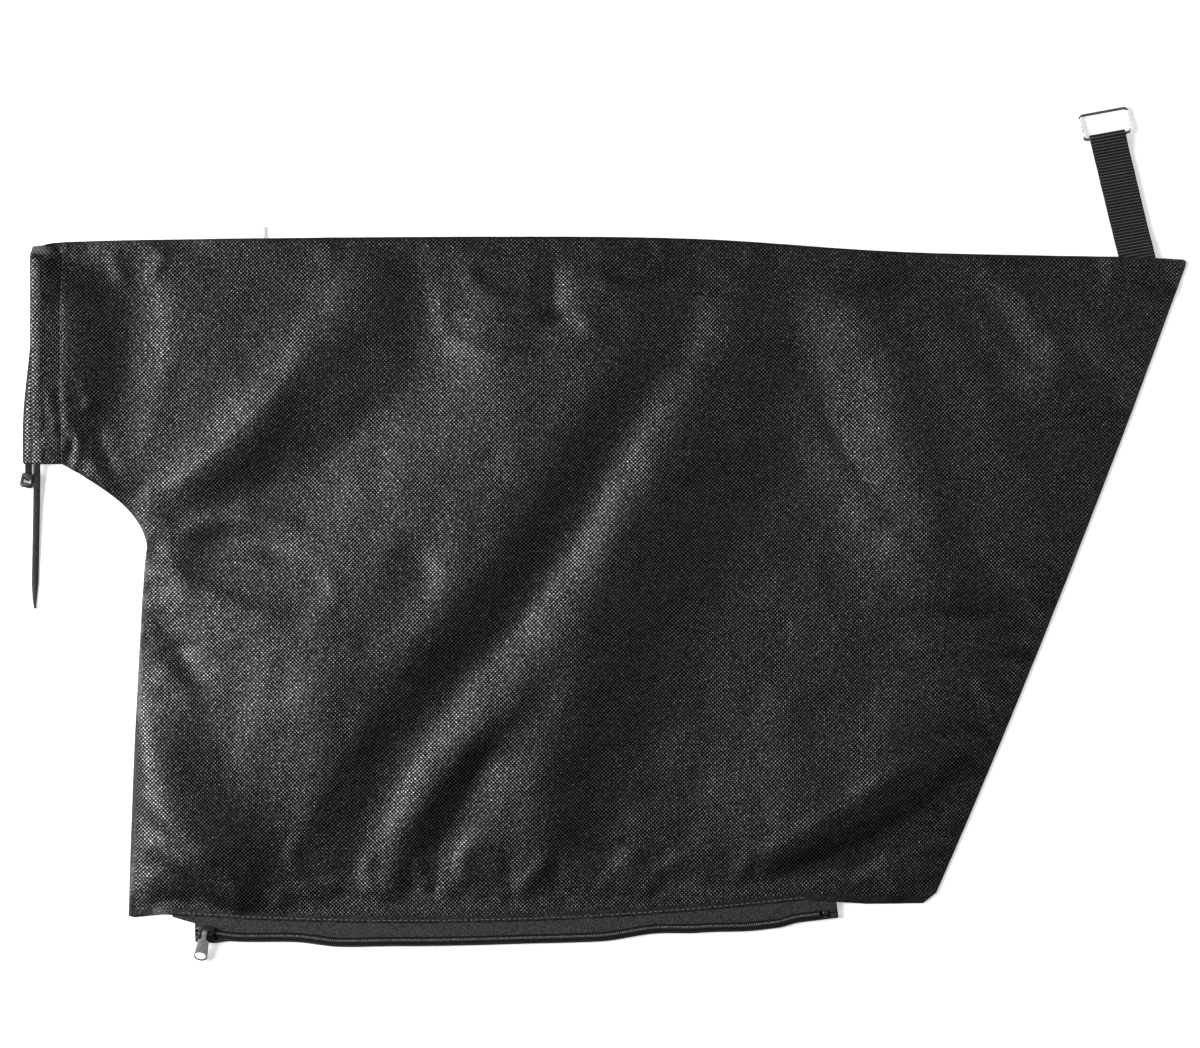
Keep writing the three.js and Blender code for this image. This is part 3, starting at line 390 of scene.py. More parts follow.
def nearest(x, y, line):
    """Distance to a line, the side of it, and how far along it, for arrays of places."""
    best = np.full(x.shape, 1e9)
    side = np.zeros(x.shape)
    run = np.zeros(x.shape)
    done = 0.0
    for (ax, ay), (bx, by) in zip(line, line[1:]):
        dx, dy = bx - ax, by - ay
        length = hypot(dx, dy)
        if length < 1e-6:
            continue
        t = np.clip(((x - ax) * dx + (y - ay) * dy) / length ** 2, 0, 1)
        px, py = x - ax - t * dx, y - ay - t * dy
        distance = np.hypot(px, py)
        closer = distance < best
        best = np.where(closer, distance, best)
        side = np.where(closer, dy * px - dx * py, side)
        run = np.where(closer, done + t * length, run)
        done += length
    return best, side, run, done


def seam_distance(x, y):
    """Distance from the seams, rounded where two of them meet."""
    total = 0.0
    for line in EDGES.values():
        distance = np.maximum(nearest(x, y, line)[0], 0.02)
        total = total + distance ** -3.0
    return total ** (-1 / 3)


# Folds of the front panel, as the frame has them, from their lower to their upper ends. Thousandths
# of the bag's depth: height, half widths to left and right, and the lengths over which each end dies
# away. Then the line, in thousandths of its length from the mouth and of its depth from the seam.
FOLDS = {
    "neck hollow": (-6.1, 45, 90, 29, 7, [(51, 329), (62, 258), (68, 157), (69, 86), (67, 0)]),
    "belly": (10.2, 307, 225, 315, 172, [(318, 945), (344, 744), (422, 458), (491, 229), (535, 14)]),
    "neck swell": (2.5, 25, 61, 86, 7, [(117, 258), (120, 129), (117, 0)]),
    "neck ridge": (9.4, 35, 49, 86, 43,
        [(98, 401), (149, 326), (198, 251), (231, 189), (257, 129), (285, 64), (316, 7)]),
    "shoulder hollow": (-10.2, 49, 74, 29, 14,
        [(114, 429), (179, 389), (244, 341), (301, 251), (340, 150), (354, 14)]),
    "throat crease": (4.5, 16, 33, 11, 86, [(107, 447), (145, 411), (192, 389), (240, 379)]),
    "throat dish": (-3.3, 31, 33, 29, 100, [(132, 452), (175, 438), (218, 447), (257, 480)]),
    "side dish": (-3.7, 41, 33, 43, 57, [(270, 573), (318, 530), (335, 465), (322, 408)]),
    "left wedge": (4.9, 45, 70, 14, 86, [(107, 480), (145, 515), (188, 551), (240, 573), (301, 558)]),
    "middle ridge": (11.5, 172, 57, 129, 57,
        [(230, 916), (233, 809), (253, 730), (282, 661), (316, 594), (357, 520), (398, 441),
         (432, 355), (471, 255), (502, 183), (536, 97), (564, 14)]),
    "middle hollow": (-8.2, 53, 41, 29, 29,
        [(294, 938), (302, 823), (328, 730), (359, 658), (402, 573), (437, 494), (470, 412),
         (502, 315), (535, 218), (562, 146), (583, 29)]),
    "long ridge": (9.4, 53, 90, 100, 57,
        [(463, 930), (453, 859), (452, 773), (461, 687), (476, 601), (493, 515), (515, 429),
         (547, 315), (578, 218), (597, 122), (597, 31)]),
    "long hollow": (-10.2, 98, 164, 43, 57,
        [(484, 916), (502, 830), (528, 716), (562, 601), (597, 487), (632, 372), (656, 258),
         (664, 129)]),
    "far foot": (-4.5, 82, 45, 172, 72,
        [(723, 480), (699, 401), (676, 301), (663, 200), (664, 122), (703, 86)]),
    "far ridge": (18.4, 86, 74, 172, 57,
        [(846, 573), (805, 458), (781, 372), (766, 286), (749, 200), (734, 115), (723, 31)]),
    "far hollow": (-8.2, 61, 82, 86, 14, [(911, 515), (890, 372), (846, 229), (816, 129), (794, 31)]),
    "side swell": (6.1, 82, 33, 29, 7, [(838, 709), (836, 644), (845, 573), (872, 504)]),
    "corner ridge": (11.5, 39, 45, 29, 14, [(959, 236), (920, 203), (883, 136), (845, 21)]),
    "corner hollow": (-7.2, 29, 49, 14, 7, [(976, 186), (946, 155), (903, 97), (868, 21)]),
    "foot ridge": (16.4, 115, 29, 157, 14,
        [(608, 938), (666, 870), (723, 825), (767, 782), (799, 736), (838, 706)]),
    "foot hollow": (-6.1, 20, 25, 29, 29,
        [(638, 952), (687, 905), (737, 873), (777, 839), (807, 794)]),
    "foot crease": (6.1, 16, 16, 29, 14, [(701, 930), (751, 873), (790, 833), (816, 807)]),
    "left foot ridge": (8.2, 61, 53, 57, 86,
        [(204, 952), (166, 888), (140, 850), (117, 790), (105, 716), (101, 616)]),
    "left foot hollow": (-6.1, 49, 82, 14, 129,
        [(228, 930), (221, 870), (202, 804), (178, 737), (147, 658), (114, 594)]),
    "left tuck low": (-3.3, 16, 25, 7, 57, [(101, 670), (123, 630), (158, 604)]),
    "left tuck high": (-3.3, 16, 25, 57, 7, [(159, 666), (136, 601), (103, 533)]),
    "wedge ridge": (6.1, 37, 27, 14, 115,
        [(302, 952), (314, 870), (342, 787), (379, 716), (422, 644), (457, 573)]),
    "wedge hollow": (-9.2, 25, 37, 14, 57, [(328, 952), (358, 856), (386, 766), (406, 709)]),
    "seam bulge": (4.5, 37, 49, 57, 7, [(405, 150), (372, 93), (361, 36), (372, -3)]),
    "seam tuck": (-7.4, 20, 31, 50, 7, [(439, 136), (450, 72), (457, 0)]),
    "seam arc": (6.1, 25, 25, 29, 7, [(470, 136), (491, 94), (533, 72), (561, 7)]),
}


# Sharper creases on and between the folds: height and half widths in millimetres, then the line in
# the same thousandths
CREASES = {
    "neck ridge crest": (1.7, 5, 14,
        [(104, 384), (149, 316), (191, 250), (218, 201), (235, 139), (260, 75)]),
    "neck ridge foot": (-1.1, 24, 26, [(120, 430), (200, 340), (300, 210)]),
    "throat": (1.3, 5, 9, [(100, 441), (149, 404), (205, 401), (257, 437)]),
    "throat dish": (-1.2, 9, 9, [(136, 441), (188, 434), (249, 461)]),
    "throat dish rim": (1.1, 6, 10, [(257, 458), (262, 515), (231, 573)]),
    "side dish": (-1.1, 8, 8, [(314, 429), (340, 472), (342, 530)]),
    "left wedge": (1.3, 5, 12, [(94, 461), (132, 487), (197, 532), (275, 541)]),
    "left tuck": (-1.7, 6, 8, [(91, 633), (119, 590), (158, 580)]),
    "left tuck across": (-1.5, 6, 8, [(101, 515), (123, 573), (145, 644)]),
    "left tuck crest": (1.3, 5, 8, [(91, 594), (114, 613), (145, 658)]),
    "left foot upper": (1.6, 12, 5, [(91, 787), (127, 845), (179, 920)]),
    "left foot middle": (1.8, 12, 5, [(70, 820), (94, 856), (136, 902), (192, 960), (230, 1000)]),
    "left foot lower": (1.5, 9, 4, [(93, 905), (114, 926), (145, 949)]),
    "middle crest": (0.7, 6, 16,
        [(305, 916), (319, 816), (352, 716), (409, 601), (457, 501), (500, 386), (535, 272),
         (565, 143), (578, 72)]),
    "second crest": (0.5, 6, 12, [(231, 902), (247, 802), (292, 687), (344, 587)]),
    "top tuck": (-2.4, 7, 9, [(453, 123), (450, 74), (453, 26)]),
    "top tuck left": (1.3, 5, 7, [(379, 23), (387, 69), (422, 89)]),
    "top tuck under": (1.1, 5, 8, [(353, 31), (359, 129), (405, 163), (457, 160), (509, 117)]),
    "top tuck right": (1.2, 5, 8, [(483, 26), (500, 64), (535, 69), (569, 26)]),
    "far crest": (1.5, 6, 18,
        [(664, 157), (677, 258), (716, 372), (777, 472), (838, 512), (877, 515)]),
    "far side crest": (1.2, 5, 7, [(755, 561), (803, 590), (846, 578)]),
    "far side tuck": (-1.3, 6, 6, [(751, 527), (803, 544), (859, 535)]),
    "corner crest": (1.6, 6, 14, [(799, 50), (829, 129), (872, 200), (924, 243), (950, 246)]),
    "foot line": (-1.9, 6, 6, [(617, 926), (690, 876), (751, 826), (803, 762), (829, 723)]),
    "foot crest": (1.6, 6, 10, [(608, 905), (682, 830), (751, 759), (838, 690)]),
    "foot lower line": (-1.2, 4, 5, [(656, 933), (734, 887), (803, 826)]),
    "hook one": (1.5, 5, 7, [(379, 933), (372, 890), (386, 859), (405, 869)]),
    "hook two": (1.4, 5, 6, [(418, 938), (439, 898), (457, 876)]),
    "hook two tuck": (-1.4, 5, 6, [(400, 938), (413, 905), (409, 869)]),
    "hook three": (1.3, 4, 6, [(491, 938), (504, 898), (526, 876)]),
    "hook four": (1.2, 4, 6, [(526, 938), (550, 893), (578, 876)]),
    "hook three tuck": (-1.3, 5, 5, [(457, 943), (453, 905), (457, 862)]),
    "hook five": (1.3, 4, 6, [(344, 938), (335, 905), (342, 876)]),
    "hook six": (1.2, 4, 5, [(296, 940), (288, 902), (299, 869)]),
    "hook seven": (1.3, 4, 6, [(231, 922), (224, 876), (240, 833)]),
    "hem swirl": (1.8, 3, 4, [(36, 214), (45, 210), (52, 226), (47, 246), (37, 243)]),
    "hem swirl low": (1.9, 3, 4, [(23, 252), (34, 265), (40, 283), (41, 303), (36, 320)]),
    "hem fan": (1.6, 4, 6, [(42, 300), (54, 322), (65, 350), (75, 374)]),
    "hem fold": (1.2, 3, 4, [(12, 205), (19, 240), (21, 285), (20, 325)]),
    "hem swirl tuck": (-1.4, 4, 5, [(55, 260), (62, 300), (73, 345)]),
    "neck side": (0.6, 9, 16, [(118, 20), (120, 90), (118, 170), (108, 260), (100, 330)]),
    "left foot shoulder": (6, 30, 17, [(60, 660), (99, 773), (140, 866), (194, 952), (240, 1020)]),
    "left foot fall": (3.5, 9, 60, [(104, 970), (96, 860), (97, 760), (100, 640)]),
    "neck pinch": (1.4, 4, 6, [(69, 10), (75, 40), (87, 74)]),
    "neck pinch far": (1.4, 4, 6, [(117, 7), (110, 36), (100, 72)]),
}


def on_bag(line):
    """Places of a fold's line, from thousandths to millimetres."""
    return [(MOUTH_X + along / 1000 * BAG_LENGTH, -down / 1000 * BAG_DEPTH) for along, down in line]


def crease_lines():
    """The creases as lines in millimetres, which die away over their last part at each end."""
    lines = []
    for height, left, right, line in CREASES.values():
        places = curve_points(on_bag(line), 4)
        length = sum(np.linalg.norm(b - a) for a, b in zip(places, places[1:]))
        lines.append((height, left, right, 0.25 * length, 0.4 * length, places))
    return lines


# Small gathers along each seam: how many, and their greatest length
PUCKERS = {"bottom": (46, 74), "right": (26, 52), "top": (34, 36), "left": (16, 52), "neck": (12, 54)}


def seam_puckers():
    """Small gathers where the seams draw the cloth in, as folds."""
    rng = np.random.default_rng(11)
    puckers = []
    for name, (count, reach) in PUCKERS.items():
        line = np.array(EDGES[name])
        middle = np.array((0, -BAG_DEPTH / 2))
        for share in (np.arange(count) + rng.uniform(0.1, 0.9, count)) / count:
            place = share * (len(line) - 1)
            n = min(int(place), len(line) - 2)
            foot = mix(line[n], line[n + 1], place - n)
            along = (line[n + 1] - line[n]) / np.linalg.norm(line[n + 1] - line[n])
            inward = np.array((-along[1], along[0]))
            inward = inward * np.sign(inward @ (middle - foot))
            length = reach * rng.uniform(0.35, 1)
            lean = rng.uniform(-0.55, 0.55)
            tip = foot + length * (inward + lean * along)
            bend = (foot + tip) / 2 + along * rng.uniform(-0.12, 0.12) * length
            height = rng.choice((-1, 1)) * rng.uniform(0.4, 1.5)
            width = rng.uniform(3, 8)
            puckers.append((height, width, width * rng.uniform(0.7, 1.4), 4, length, [foot, bend, tip]))
    return puckers


def fold_height(x, y, fold, kept=0.2):
    """Height of a fold, of which a share is kept up to its very ends."""
    height, left, right, start, end, line = fold
    distance, side, run, length = nearest(x, y, line)
    width = np.where(side < 0, left, right)
    ends = smooth(run / start) * smooth((length - run) / end)
    return height * np.exp(-(distance / width) ** 2) * (kept + (1 - kept) * ends)


def placed(fold):
    """A fold in millimetres on the drawing."""
    return *(size / 1000 * BAG_DEPTH for size in fold[:5]), curve_points(on_bag(fold[5]), 4)


def crease_height(x, y, fold):
    """The same for a small crease, which dies away, worked out only near it."""
    line = np.array(fold[5])
    reach = 2.6 * max(fold[1], fold[2])
    near = (x > line[:, 0].min() - reach) & (x < line[:, 0].max() + reach)
    near &= (y > line[:, 1].min() - reach) & (y < line[:, 1].max() + reach)
    height = np.zeros(x.shape)
    height[near] = fold_height(x[near], y[near], fold, 0)
    return height


HEM_GATHERS = 18


def hem_gathers():
    """Creases that the cable tie draws into the hem and the cloth beside it, as folds."""
    rng = np.random.default_rng(21)
    gathers = []
    for _ in range(HEM_GATHERS):
        down = rng.beta(5, 1.2)
        foot = np.array((MOUTH_X + rng.uniform(6, 24), mix(-MOUTH_DROP - 12, NECK_FOOT + 5, down)))
        turn = rng.uniform(-1.1, 0.9)
        length = rng.uniform(10, 26)
        tip = foot + length * np.array((cos(turn), sin(turn)))
        bend = (foot + tip) / 2 + rng.uniform(-0.2, 0.2) * length * np.array((-sin(turn), cos(turn)))
        width = rng.uniform(2.4, 5)
        gathers.append((rng.uniform(0.4, 1.2), width, width, 4, length, [foot, bend, tip]))
    return gathers


# The hem stands over the cable tie: up behind the tie's bend, down to the neck's lower edge
HEM_HIGH = 3 * CLOTH + 2 * TUNNEL + MOUTH_HEIGHT
HEM_LOW = 3 * CLOTH + 2 * TUNNEL + GAP
BEND_RADIUS = (MOUTH_HEIGHT + 2 * CLOTH + TUNNEL) / 2
BEND_Y = -MOUTH_DROP - 5.6 - BEND_RADIUS
HEM_OVER_BEND = 1.3  # cloth and air over the tie's bend
HEM_DOWN = 70  # lengths of its slopes to the neck's lower edge, its upper edge and the stitch line
HEM_UP = 48
HEM_IN = 12


def hem_height(x, y):
    """Height of the hem: close over the tie at the mouth, and an easy slope beside it."""
    outer = BEND_RADIUS + HEM_OVER_BEND
    reach = y - BEND_Y
    arch = HEM_HIGH - BEND_RADIUS + np.sqrt(np.maximum(0, outer ** 2 - reach ** 2))
    fall = np.clip((-MOUTH_DROP - y) / (-MOUTH_DROP - BEND_Y - outer), 0, 1)
    behind = np.where(reach < outer, np.minimum(HEM_HIGH, arch),
                      mix(SEAM_Z, HEM_HIGH - BEND_RADIUS, fall))
    before = mix(HEM_LOW, HEM_HIGH, smooth((y - NECK_FOOT) / HEM_DOWN))
    over_tie = np.where(y >= BEND_Y, behind, before)
    easy = mix(SEAM_Z, before, smooth((-MOUTH_DROP - y) / HEM_UP))
    return mix(over_tie, easy, smooth((x - MOUTH_X - TIE_SPAN) / HEM_IN))


WAVES = (90, 62, 41, 28, 19)  # lengths of the cloth's faint waves


def waviness(x, y):
    """Faint unevenness of cloth that was folded up once."""
    total = 0
    rng = np.random.default_rng(5)
    for wave in WAVES:
        for _ in range(3):
            turn, shift = rng.uniform(0, 2 * pi, 2)
            along = (x * cos(turn) + y * sin(turn)) * 2 * pi / wave
            across = (y * cos(turn) - x * sin(turn)) * 2 * pi / (wave * 1.9)
            total = total + 0.0022 * wave * np.sin(along + shift + 1.3 * np.sin(across + 2 * shift))
    return total


STRAP_ROOT = (CORNER_X - 35, -CORNER_DROP)
STRAP_LEAN = 13.7  # degrees that the strap's length leans, and that its ring does
RING_LEAN = 10.4
STRAP_WIDTH = 25
STRAP_THICK = 1.2
STRAP_SEWN = 10  # length that is sewn in under the panel
LABEL_X = MOUTH_X + 145
LABEL_WIDTH = 35
LABEL_SEWN = 7
LABEL_THICK = 0.4
TAPE_CLEAR = 0.12  # air between the zip's tape and the panel over it


def lifted(x, y):
    """Least height of the panel where the strap, the label or the zip lies under it."""
    def over(root, half, sewn, top):
        beside = np.abs(x - root[0]) - half
        below = root[1] - sewn - y
        return top * (1 - smooth((np.maximum(beside, below) - 1.5) / COVER_SLOPE))

    along, outward = zip_place(x, y)
    past = np.maximum(ZIP_FROM - along, along - ZIP_TO)
    inward = PANEL_EDGE - TAPE_HIDDEN - outward
    over_tape = CHAIN_TAPE_Z + TAPE_THICK + TAPE_CLEAR
    zipped = over_tape * (1 - smooth((np.maximum(past, inward) - 1) / TAPE_SLOPE))
    strap = over(STRAP_ROOT, STRAP_WIDTH * 0.6, STRAP_SEWN, SEAM_Z + 2 * STRAP_THICK + 2 * GAP)
    label = over((LABEL_X, 0), LABEL_WIDTH / 2, LABEL_SEWN, SEAM_Z + 2 * LABEL_THICK + 2 * GAP)
    return np.maximum(np.maximum(strap, label), zipped)


def panel_height(x, y):
    """Height of the front panel's underside."""
    inside = seam_distance(x, y)

    def off_seam(length):
        return 1 - np.exp(-inside / length)

    folds = sum(fold_height(x, y, placed(fold)) for fold in FOLDS.values())
    creases = sum(crease_height(x, y, fold) for fold in seam_puckers() + crease_lines())
    body = PUFF * off_seam(PUFF_RISE) + folds * off_seam(FOLD_RISE)
    body = SEAM_Z + np.maximum(body, LEAST_PUFF * off_seam(LEAST_RISE))
    body = body + creases * off_seam(CREASE_RISE) + waviness(x, y) * off_seam(WAVE_RISE)
    body = np.maximum(body, lifted(x, y))
    hem = hem_height(x, y) - HEM_FALL * smooth((x - MOUTH_X - TIE_SPAN) / (HEM_WIDTH - TIE_SPAN))
    low = 1 - smooth((y + MOUTH_DROP + 16) / 8)
    inset, half, height = HEM_RIDGE
    hem = np.maximum(hem, SEAM_Z) + height * np.exp(-((x - MOUTH_X - inset) / half) ** 2) * low
    half, depth = STITCH_GROOVE
    sewn = depth * np.exp(-((x - STITCH_X) / half) ** 2) * smooth((-MOUTH_DROP - 5 - y) / 6)
    past_hem = smooth((x - STITCH_X) / NECK_FALL)
    small = sum(crease_height(x, y, fold) for fold in hem_gathers()) + creases * (1 - past_hem)
    return mix(hem, body, past_hem) - sewn + np.maximum(small, -DEEPEST_CREASE)


# A flat cloth cut to an outline and divided on a grid

FRONT_STEP = 3.3  # between the grid's lines
BACK_STEP = 6
FINE_TO = MOUTH_X + 34  # up to here from the mouth its lines are twice as close
CORNER_ROUND = 4.5  # radius of the corner by the strap


def cut_cloth(outline, step):
    mesh = bmesh.new()
    corners = [mesh.verts.new((x, y, 0)) for x, y in outline]
    mesh.faces.new(corners)
    places = np.array(outline)
    for axis in (1, 0):
        start, end = places[:, axis].min(), places[:, axis].max()
        lines = steps(start, end, step)
        if axis == 0:
            lines = steps(start, FINE_TO, step / 2) + steps(FINE_TO, end, step)[1:]
        rest = mesh.faces[:]
        for line in lines[1:-1]:
            rest = cut_across(mesh, rest, axis, line)
    return mesh


def cut_across(mesh, faces, axis, line):
    """Cuts the faces along a grid line and gives back those past it."""
    normal = Vector((axis == 0, axis == 1, 0))
    edges = {edge for face in faces for edge in face.edges}
    verts = {vert for face in faces for vert in face.verts}
    cut = bmesh.ops.bisect_plane(mesh, geom=[*verts, *edges, *faces], dist=1e-4,
                                 plane_co=normal * line, plane_no=normal)
    past = [g for g in cut["geom"] if isinstance(g, bmesh.types.BMFace)]
    return [face for face in past if face.calc_center_median()[axis] > line]


def grid_mesh(us, vs, place):
    """A grid with lines at us and vs, each crossing moved to its place in space."""
    mesh = bmesh.new()
    grid = bmesh.ops.create_grid(mesh, x_segments=len(us) - 1, y_segments=len(vs) - 1, size=1)
    for n, vert in enumerate(grid["verts"]):
        vert.co = place(us[n % len(us)], vs[n // len(us)])
    return mesh


def face_outward(mesh, weld=0.0):
    """The mesh with its normals set, once corners that lie together are joined."""
    if weld:
        bmesh.ops.remove_doubles(mesh, verts=mesh.verts, dist=weld)
    bmesh.ops.recalc_face_normals(mesh, faces=mesh.faces)
    return mesh


def steps(start, end, step):
    count = max(1, ceil(abs(end - start) / step))
    return [mix(start, end, n / count) for n in range(count + 1)]


def layer(name, mesh, thickness, offset, material, node=None):
    """A single layer of the bag, with a thickness that stays live as a modifier."""
    piece = finish_mesh(name, mesh)
    solid = piece.modifiers.new("thickness", "SOLIDIFY")
    solid.thickness = thickness * MM
    solid.offset = offset
    solid.use_even_offset = False
    piece.modifiers.new("edges", "WEIGHTED_NORMAL").keep_sharp = True
    return dress(piece, "bag", material, node)


# The hems of both panels turn in at the mouth, round a tunnel for the cable tie

HEM_TURN = TUNNEL / 2


def bulge(y):
    """How far the back hem stands out past the front one."""
    return HEM_BULGE * smooth((-MOUTH_DROP - y - 45) / 85)


def tunnel(u):
    return np.maximum(TUNNEL * smooth((HEM_WIDTH - u) / (HEM_WIDTH - TIE_SPAN)), 0.08)


def folded(x, y, height, side):
    """Place of the flat cloth's point when its hem is turned in, under it or over it."""
    u = x - MOUTH_X
    turn = np.clip((HEM_TURN - u) / HEM_TURN, 0, pi)
    past = np.maximum(HEM_TURN - u - pi * HEM_TURN, 0)
    u = np.where(u < HEM_TURN, HEM_TURN - HEM_TURN * np.sin(turn) + past, u)
    level = height(MOUTH_X + u, y)
    drop = np.where(past > 0, tunnel(u), HEM_TURN * (1 - np.cos(turn)))
    return u, level + side * drop


def round_corner(line, corner, radius):
    """The outline with one of its corners rounded."""
    places = np.array(line)
    corner = np.array(corner)
    far = np.hypot(*(places - corner).T) >= radius
    first, last = np.flatnonzero(~far)[[0, -1]]
    ends = [places[first - 1], places[(last + 1) % len(places)]]
    start, end = (corner + (p - corner) * radius / np.linalg.norm(p - corner) for p in ends)
    return [*line[:first], *(tuple(p) for p in bezier(start, corner, end, count=6)), *line[last + 1:]]


def hem_outline():
    """The outline of the flat cloth, with the flap that is turned in."""
    flap = MOUTH_X - HEM_WIDTH
    foot = NECK_FOOT + 1
    turned = [(MOUTH_X, BEND_Y), (flap, BEND_Y), (flap, foot), (MOUTH_X, foot)]
    edges = [*EDGES["bottom"], *EDGES["right"][1:], *EDGES["top"][::-1][1:]]
    outline = [*edges, *turned, (MOUTH_X, NECK_FOOT), *EDGES["neck"], *EDGES["left"][1:]]
    return round_corner([tuple(p) for p in outline], (CORNER_X, -CORNER_DROP), CORNER_ROUND)


# Twice the plain border of the cloth along each seam
BORDERS = {"bottom": 12, "left": 8, "top": 5, "right": 7, "neck": 5}


def bend_cloth(mesh, height, side, shift):
    places = np.array([vert.co[:2] for vert in mesh.verts])
    x, y = places[:, 0], places[:, 1]
    u, z = folded(x, y, height, side)
    out = shift * bulge(y) * np.clip((HEM_WIDTH - u) / (HEM_WIDTH - TIE_SPAN), 0, 1)
    edge = np.min([nearest(x, y, EDGES[name])[0] / width for name, width in BORDERS.items()], axis=0)
    seam = mesh.verts.layers.float.new("seam")
    for n, vert in enumerate(mesh.verts):
        vert.co = (MOUTH_X + u[n] - out[n], y[n], z[n])
        vert[seam] = min(edge[n], 1)


def cut_area(outline):
    """Area of the flat cut, in square metres."""
    x, y = np.array(outline).T
    return abs(x @ np.roll(y, -1) - y @ np.roll(x, -1)) / 2 * MM ** 2


def cut_size():
    """The cut's length and width in metres, with the flap that is turned in."""
    x, y = np.array(hem_outline()).T
    return np.ptp(x) * MM, np.ptp(y) * MM


def back_height(x, y):
    """Height of the back panel's upper face, which lies flat on the floor."""
    return np.full(x.shape, CLOTH)


def cloth_panel(name, step, height, side, cloth, node):
    """A panel in steps of so many millimetres: the front one has side -1 and the back one 1."""
    mesh = cut_cloth(hem_outline(), step)
    bend_cloth(mesh, height, side, max(side, 0))
    return layer(name, mesh, CLOTH, -side, cloth, node)


# Zip

CHAIN_WAVE = [(215, 0), (235, 1.6), (295, -1), (340, 3.4), (400, 1.7), (520, 1), (600, 2.4), (655, -3),
              (700, 0.5), (755, 4.2), (776, 3.9), (800, 0), (830, 0)]


WAVE_KEPT = 0.8  # share of the picture's waves that the chain has
WAVE_STILL = -14  # off the chain, where the tape no longer follows them
WAVE_FADE = 11
PARTED = 1.45  # half the gap between the coil rows in the slider


def chain_wave(along):
    """How far the slack chain lies off its arc, from the picture's pixels."""
    px = MOUTH_PX + (ZIP_MIDDLE + along - MOUTH_X) / PIXEL
    for (start, a), (end, b) in zip(CHAIN_WAVE, CHAIN_WAVE[1:]):
        if start <= px < end:
            return WAVE_KEPT * PIXEL * mix(a, b, float(smooth((px - start) / (end - start))))
    return 0.0


def chain_place(along, outward, z):
    share = float(smooth((outward - WAVE_STILL) / WAVE_FADE))
    x, y = on_zip(along, outward + chain_wave(along) * share)
    return Vector((x, y, z))


SLIDER_NOSE = SLIDER_AT - 6.3
TAPE_CORNER = 9.5  # chain to the tapes' slanted end, at its far corner and its near one
TAPE_SLANT = 5.6
TAPE_TURN = 3


def parted(along):
    """How far each row stands out from the middle of the chain, which is shut past the slider."""
    return PARTED * (1 - float(smooth((along - SLIDER_AT + 4) / 6)))


def turned_in(along):
    """1 past the slider, where both tapes turn in to a slanted end, and 0 along the chain."""
    return 1 - float(smooth((along - SLIDER_NOSE + 1.5) / 1.2))


def slanted_end(along):
    return -mix(TAPE_CORNER, TAPE_SLANT, (along - ZIP_FROM) / (SLIDER_NOSE - ZIP_FROM))


def tape_steps():
    nose = [SLIDER_NOSE - 1.5, SLIDER_NOSE - 1.1, SLIDER_NOSE - 0.7, SLIDER_NOSE - 0.3]
    return steps(ZIP_FROM, nose[0], 2.4)[:-1] + nose + steps(nose[-1], ZIP_TO, 2.4)[1:]


def front_tape(tape):
    inner = PANEL_EDGE - TAPE_HIDDEN

    def place(along, share):
        outer = mix(-0.4 - parted(along), slanted_end(along) - TAPE_TURN - GAP, turned_in(along))
        return chain_place(along, mix(inner, outer, share), CHAIN_TAPE_Z + TAPE_THICK)

    mesh = grid_mesh(tape_steps(), steps(0, 1, 0.1), place)
    return layer("zip_tape_upper", mesh, TAPE_THICK, -1, tape, "zip_tape_front")


# Fold of the back tape past the chain: at the slider, and along the rest
FOLD_AT_SLIDER = 3.2
FOLD_ALONG = 0.5


def back_tape(tape):
    """The tape under the outer row, folded back below it."""
    turn = (CHAIN_TAPE_Z - BACK_TAPE_Z) / 2
    middle = (CHAIN_TAPE_Z + BACK_TAPE_Z + TAPE_THICK) / 2
    upper = [(share, 0, turn) for share in (0, 0.25, 0.5, 0.75)]
    bend = [(1, turn * cos(a), turn * sin(a)) for a in np.linspace(pi / 2, -pi / 2, 9)]
    lower = [(share, 0, -turn) for share in (0.6, 0.2, -0.3, -1.2, -2.4, -3.8, -5)]
    profile = upper + bend + lower

    def place(along, n):
        share, out, z = profile[n]
        turned, slanted = turned_in(along), slanted_end(along)
        fold = mix(FOLD_AT_SLIDER, FOLD_ALONG, float(smooth((along - SLIDER_AT - 6) / 12)))
        start = mix(0.3 + parted(along), slanted - TAPE_TURN, turned)
        end = mix(CHAIN_HALF + fold, slanted - turn - TAPE_THICK / 2, turned)
        inner = PANEL_EDGE - TAPE_HIDDEN
        outward = mix(start, end, share) if share >= 0 else mix(start, inner, share / lower[-1][0])
        return chain_place(along, outward + out, middle + z)

    mesh = grid_mesh(tape_steps(), list(range(len(profile))), place)
    return layer("zip_tape_folded", mesh, TAPE_THICK, 0, tape, "zip_tape_back")


TOOTH_PITCH = 1.56
TOOTH_SIZE = (0.95, 1.4, COIL_HEIGHT)
TOOTH_EASE = 0.3
COIL_START = SLIDER_NOSE + 3.4


def add_tooth(mesh, along, side):
    """One turn of the coil: a rounded bar across its row."""
    bar = bmesh.ops.create_cube(mesh, size=1)["verts"]
    edges = list({edge for vert in bar for edge in vert.link_edges})
    bmesh.ops.scale(mesh, vec=TOOTH_SIZE, verts=bar)
    made = bmesh.ops.bevel(mesh, geom=edges, offset=TOOTH_EASE, segments=2, profile=0.5,
                           affect="EDGES", material=-1)
    spread = parted(along)
    for vert in {vert for face in made["faces"] for vert in face.verts}:
        x, y, z = vert.co
        vert.co = chain_place(along + x, side * (0.5 + spread) + y, COIL_Z + COIL_HEIGHT / 2 + z)


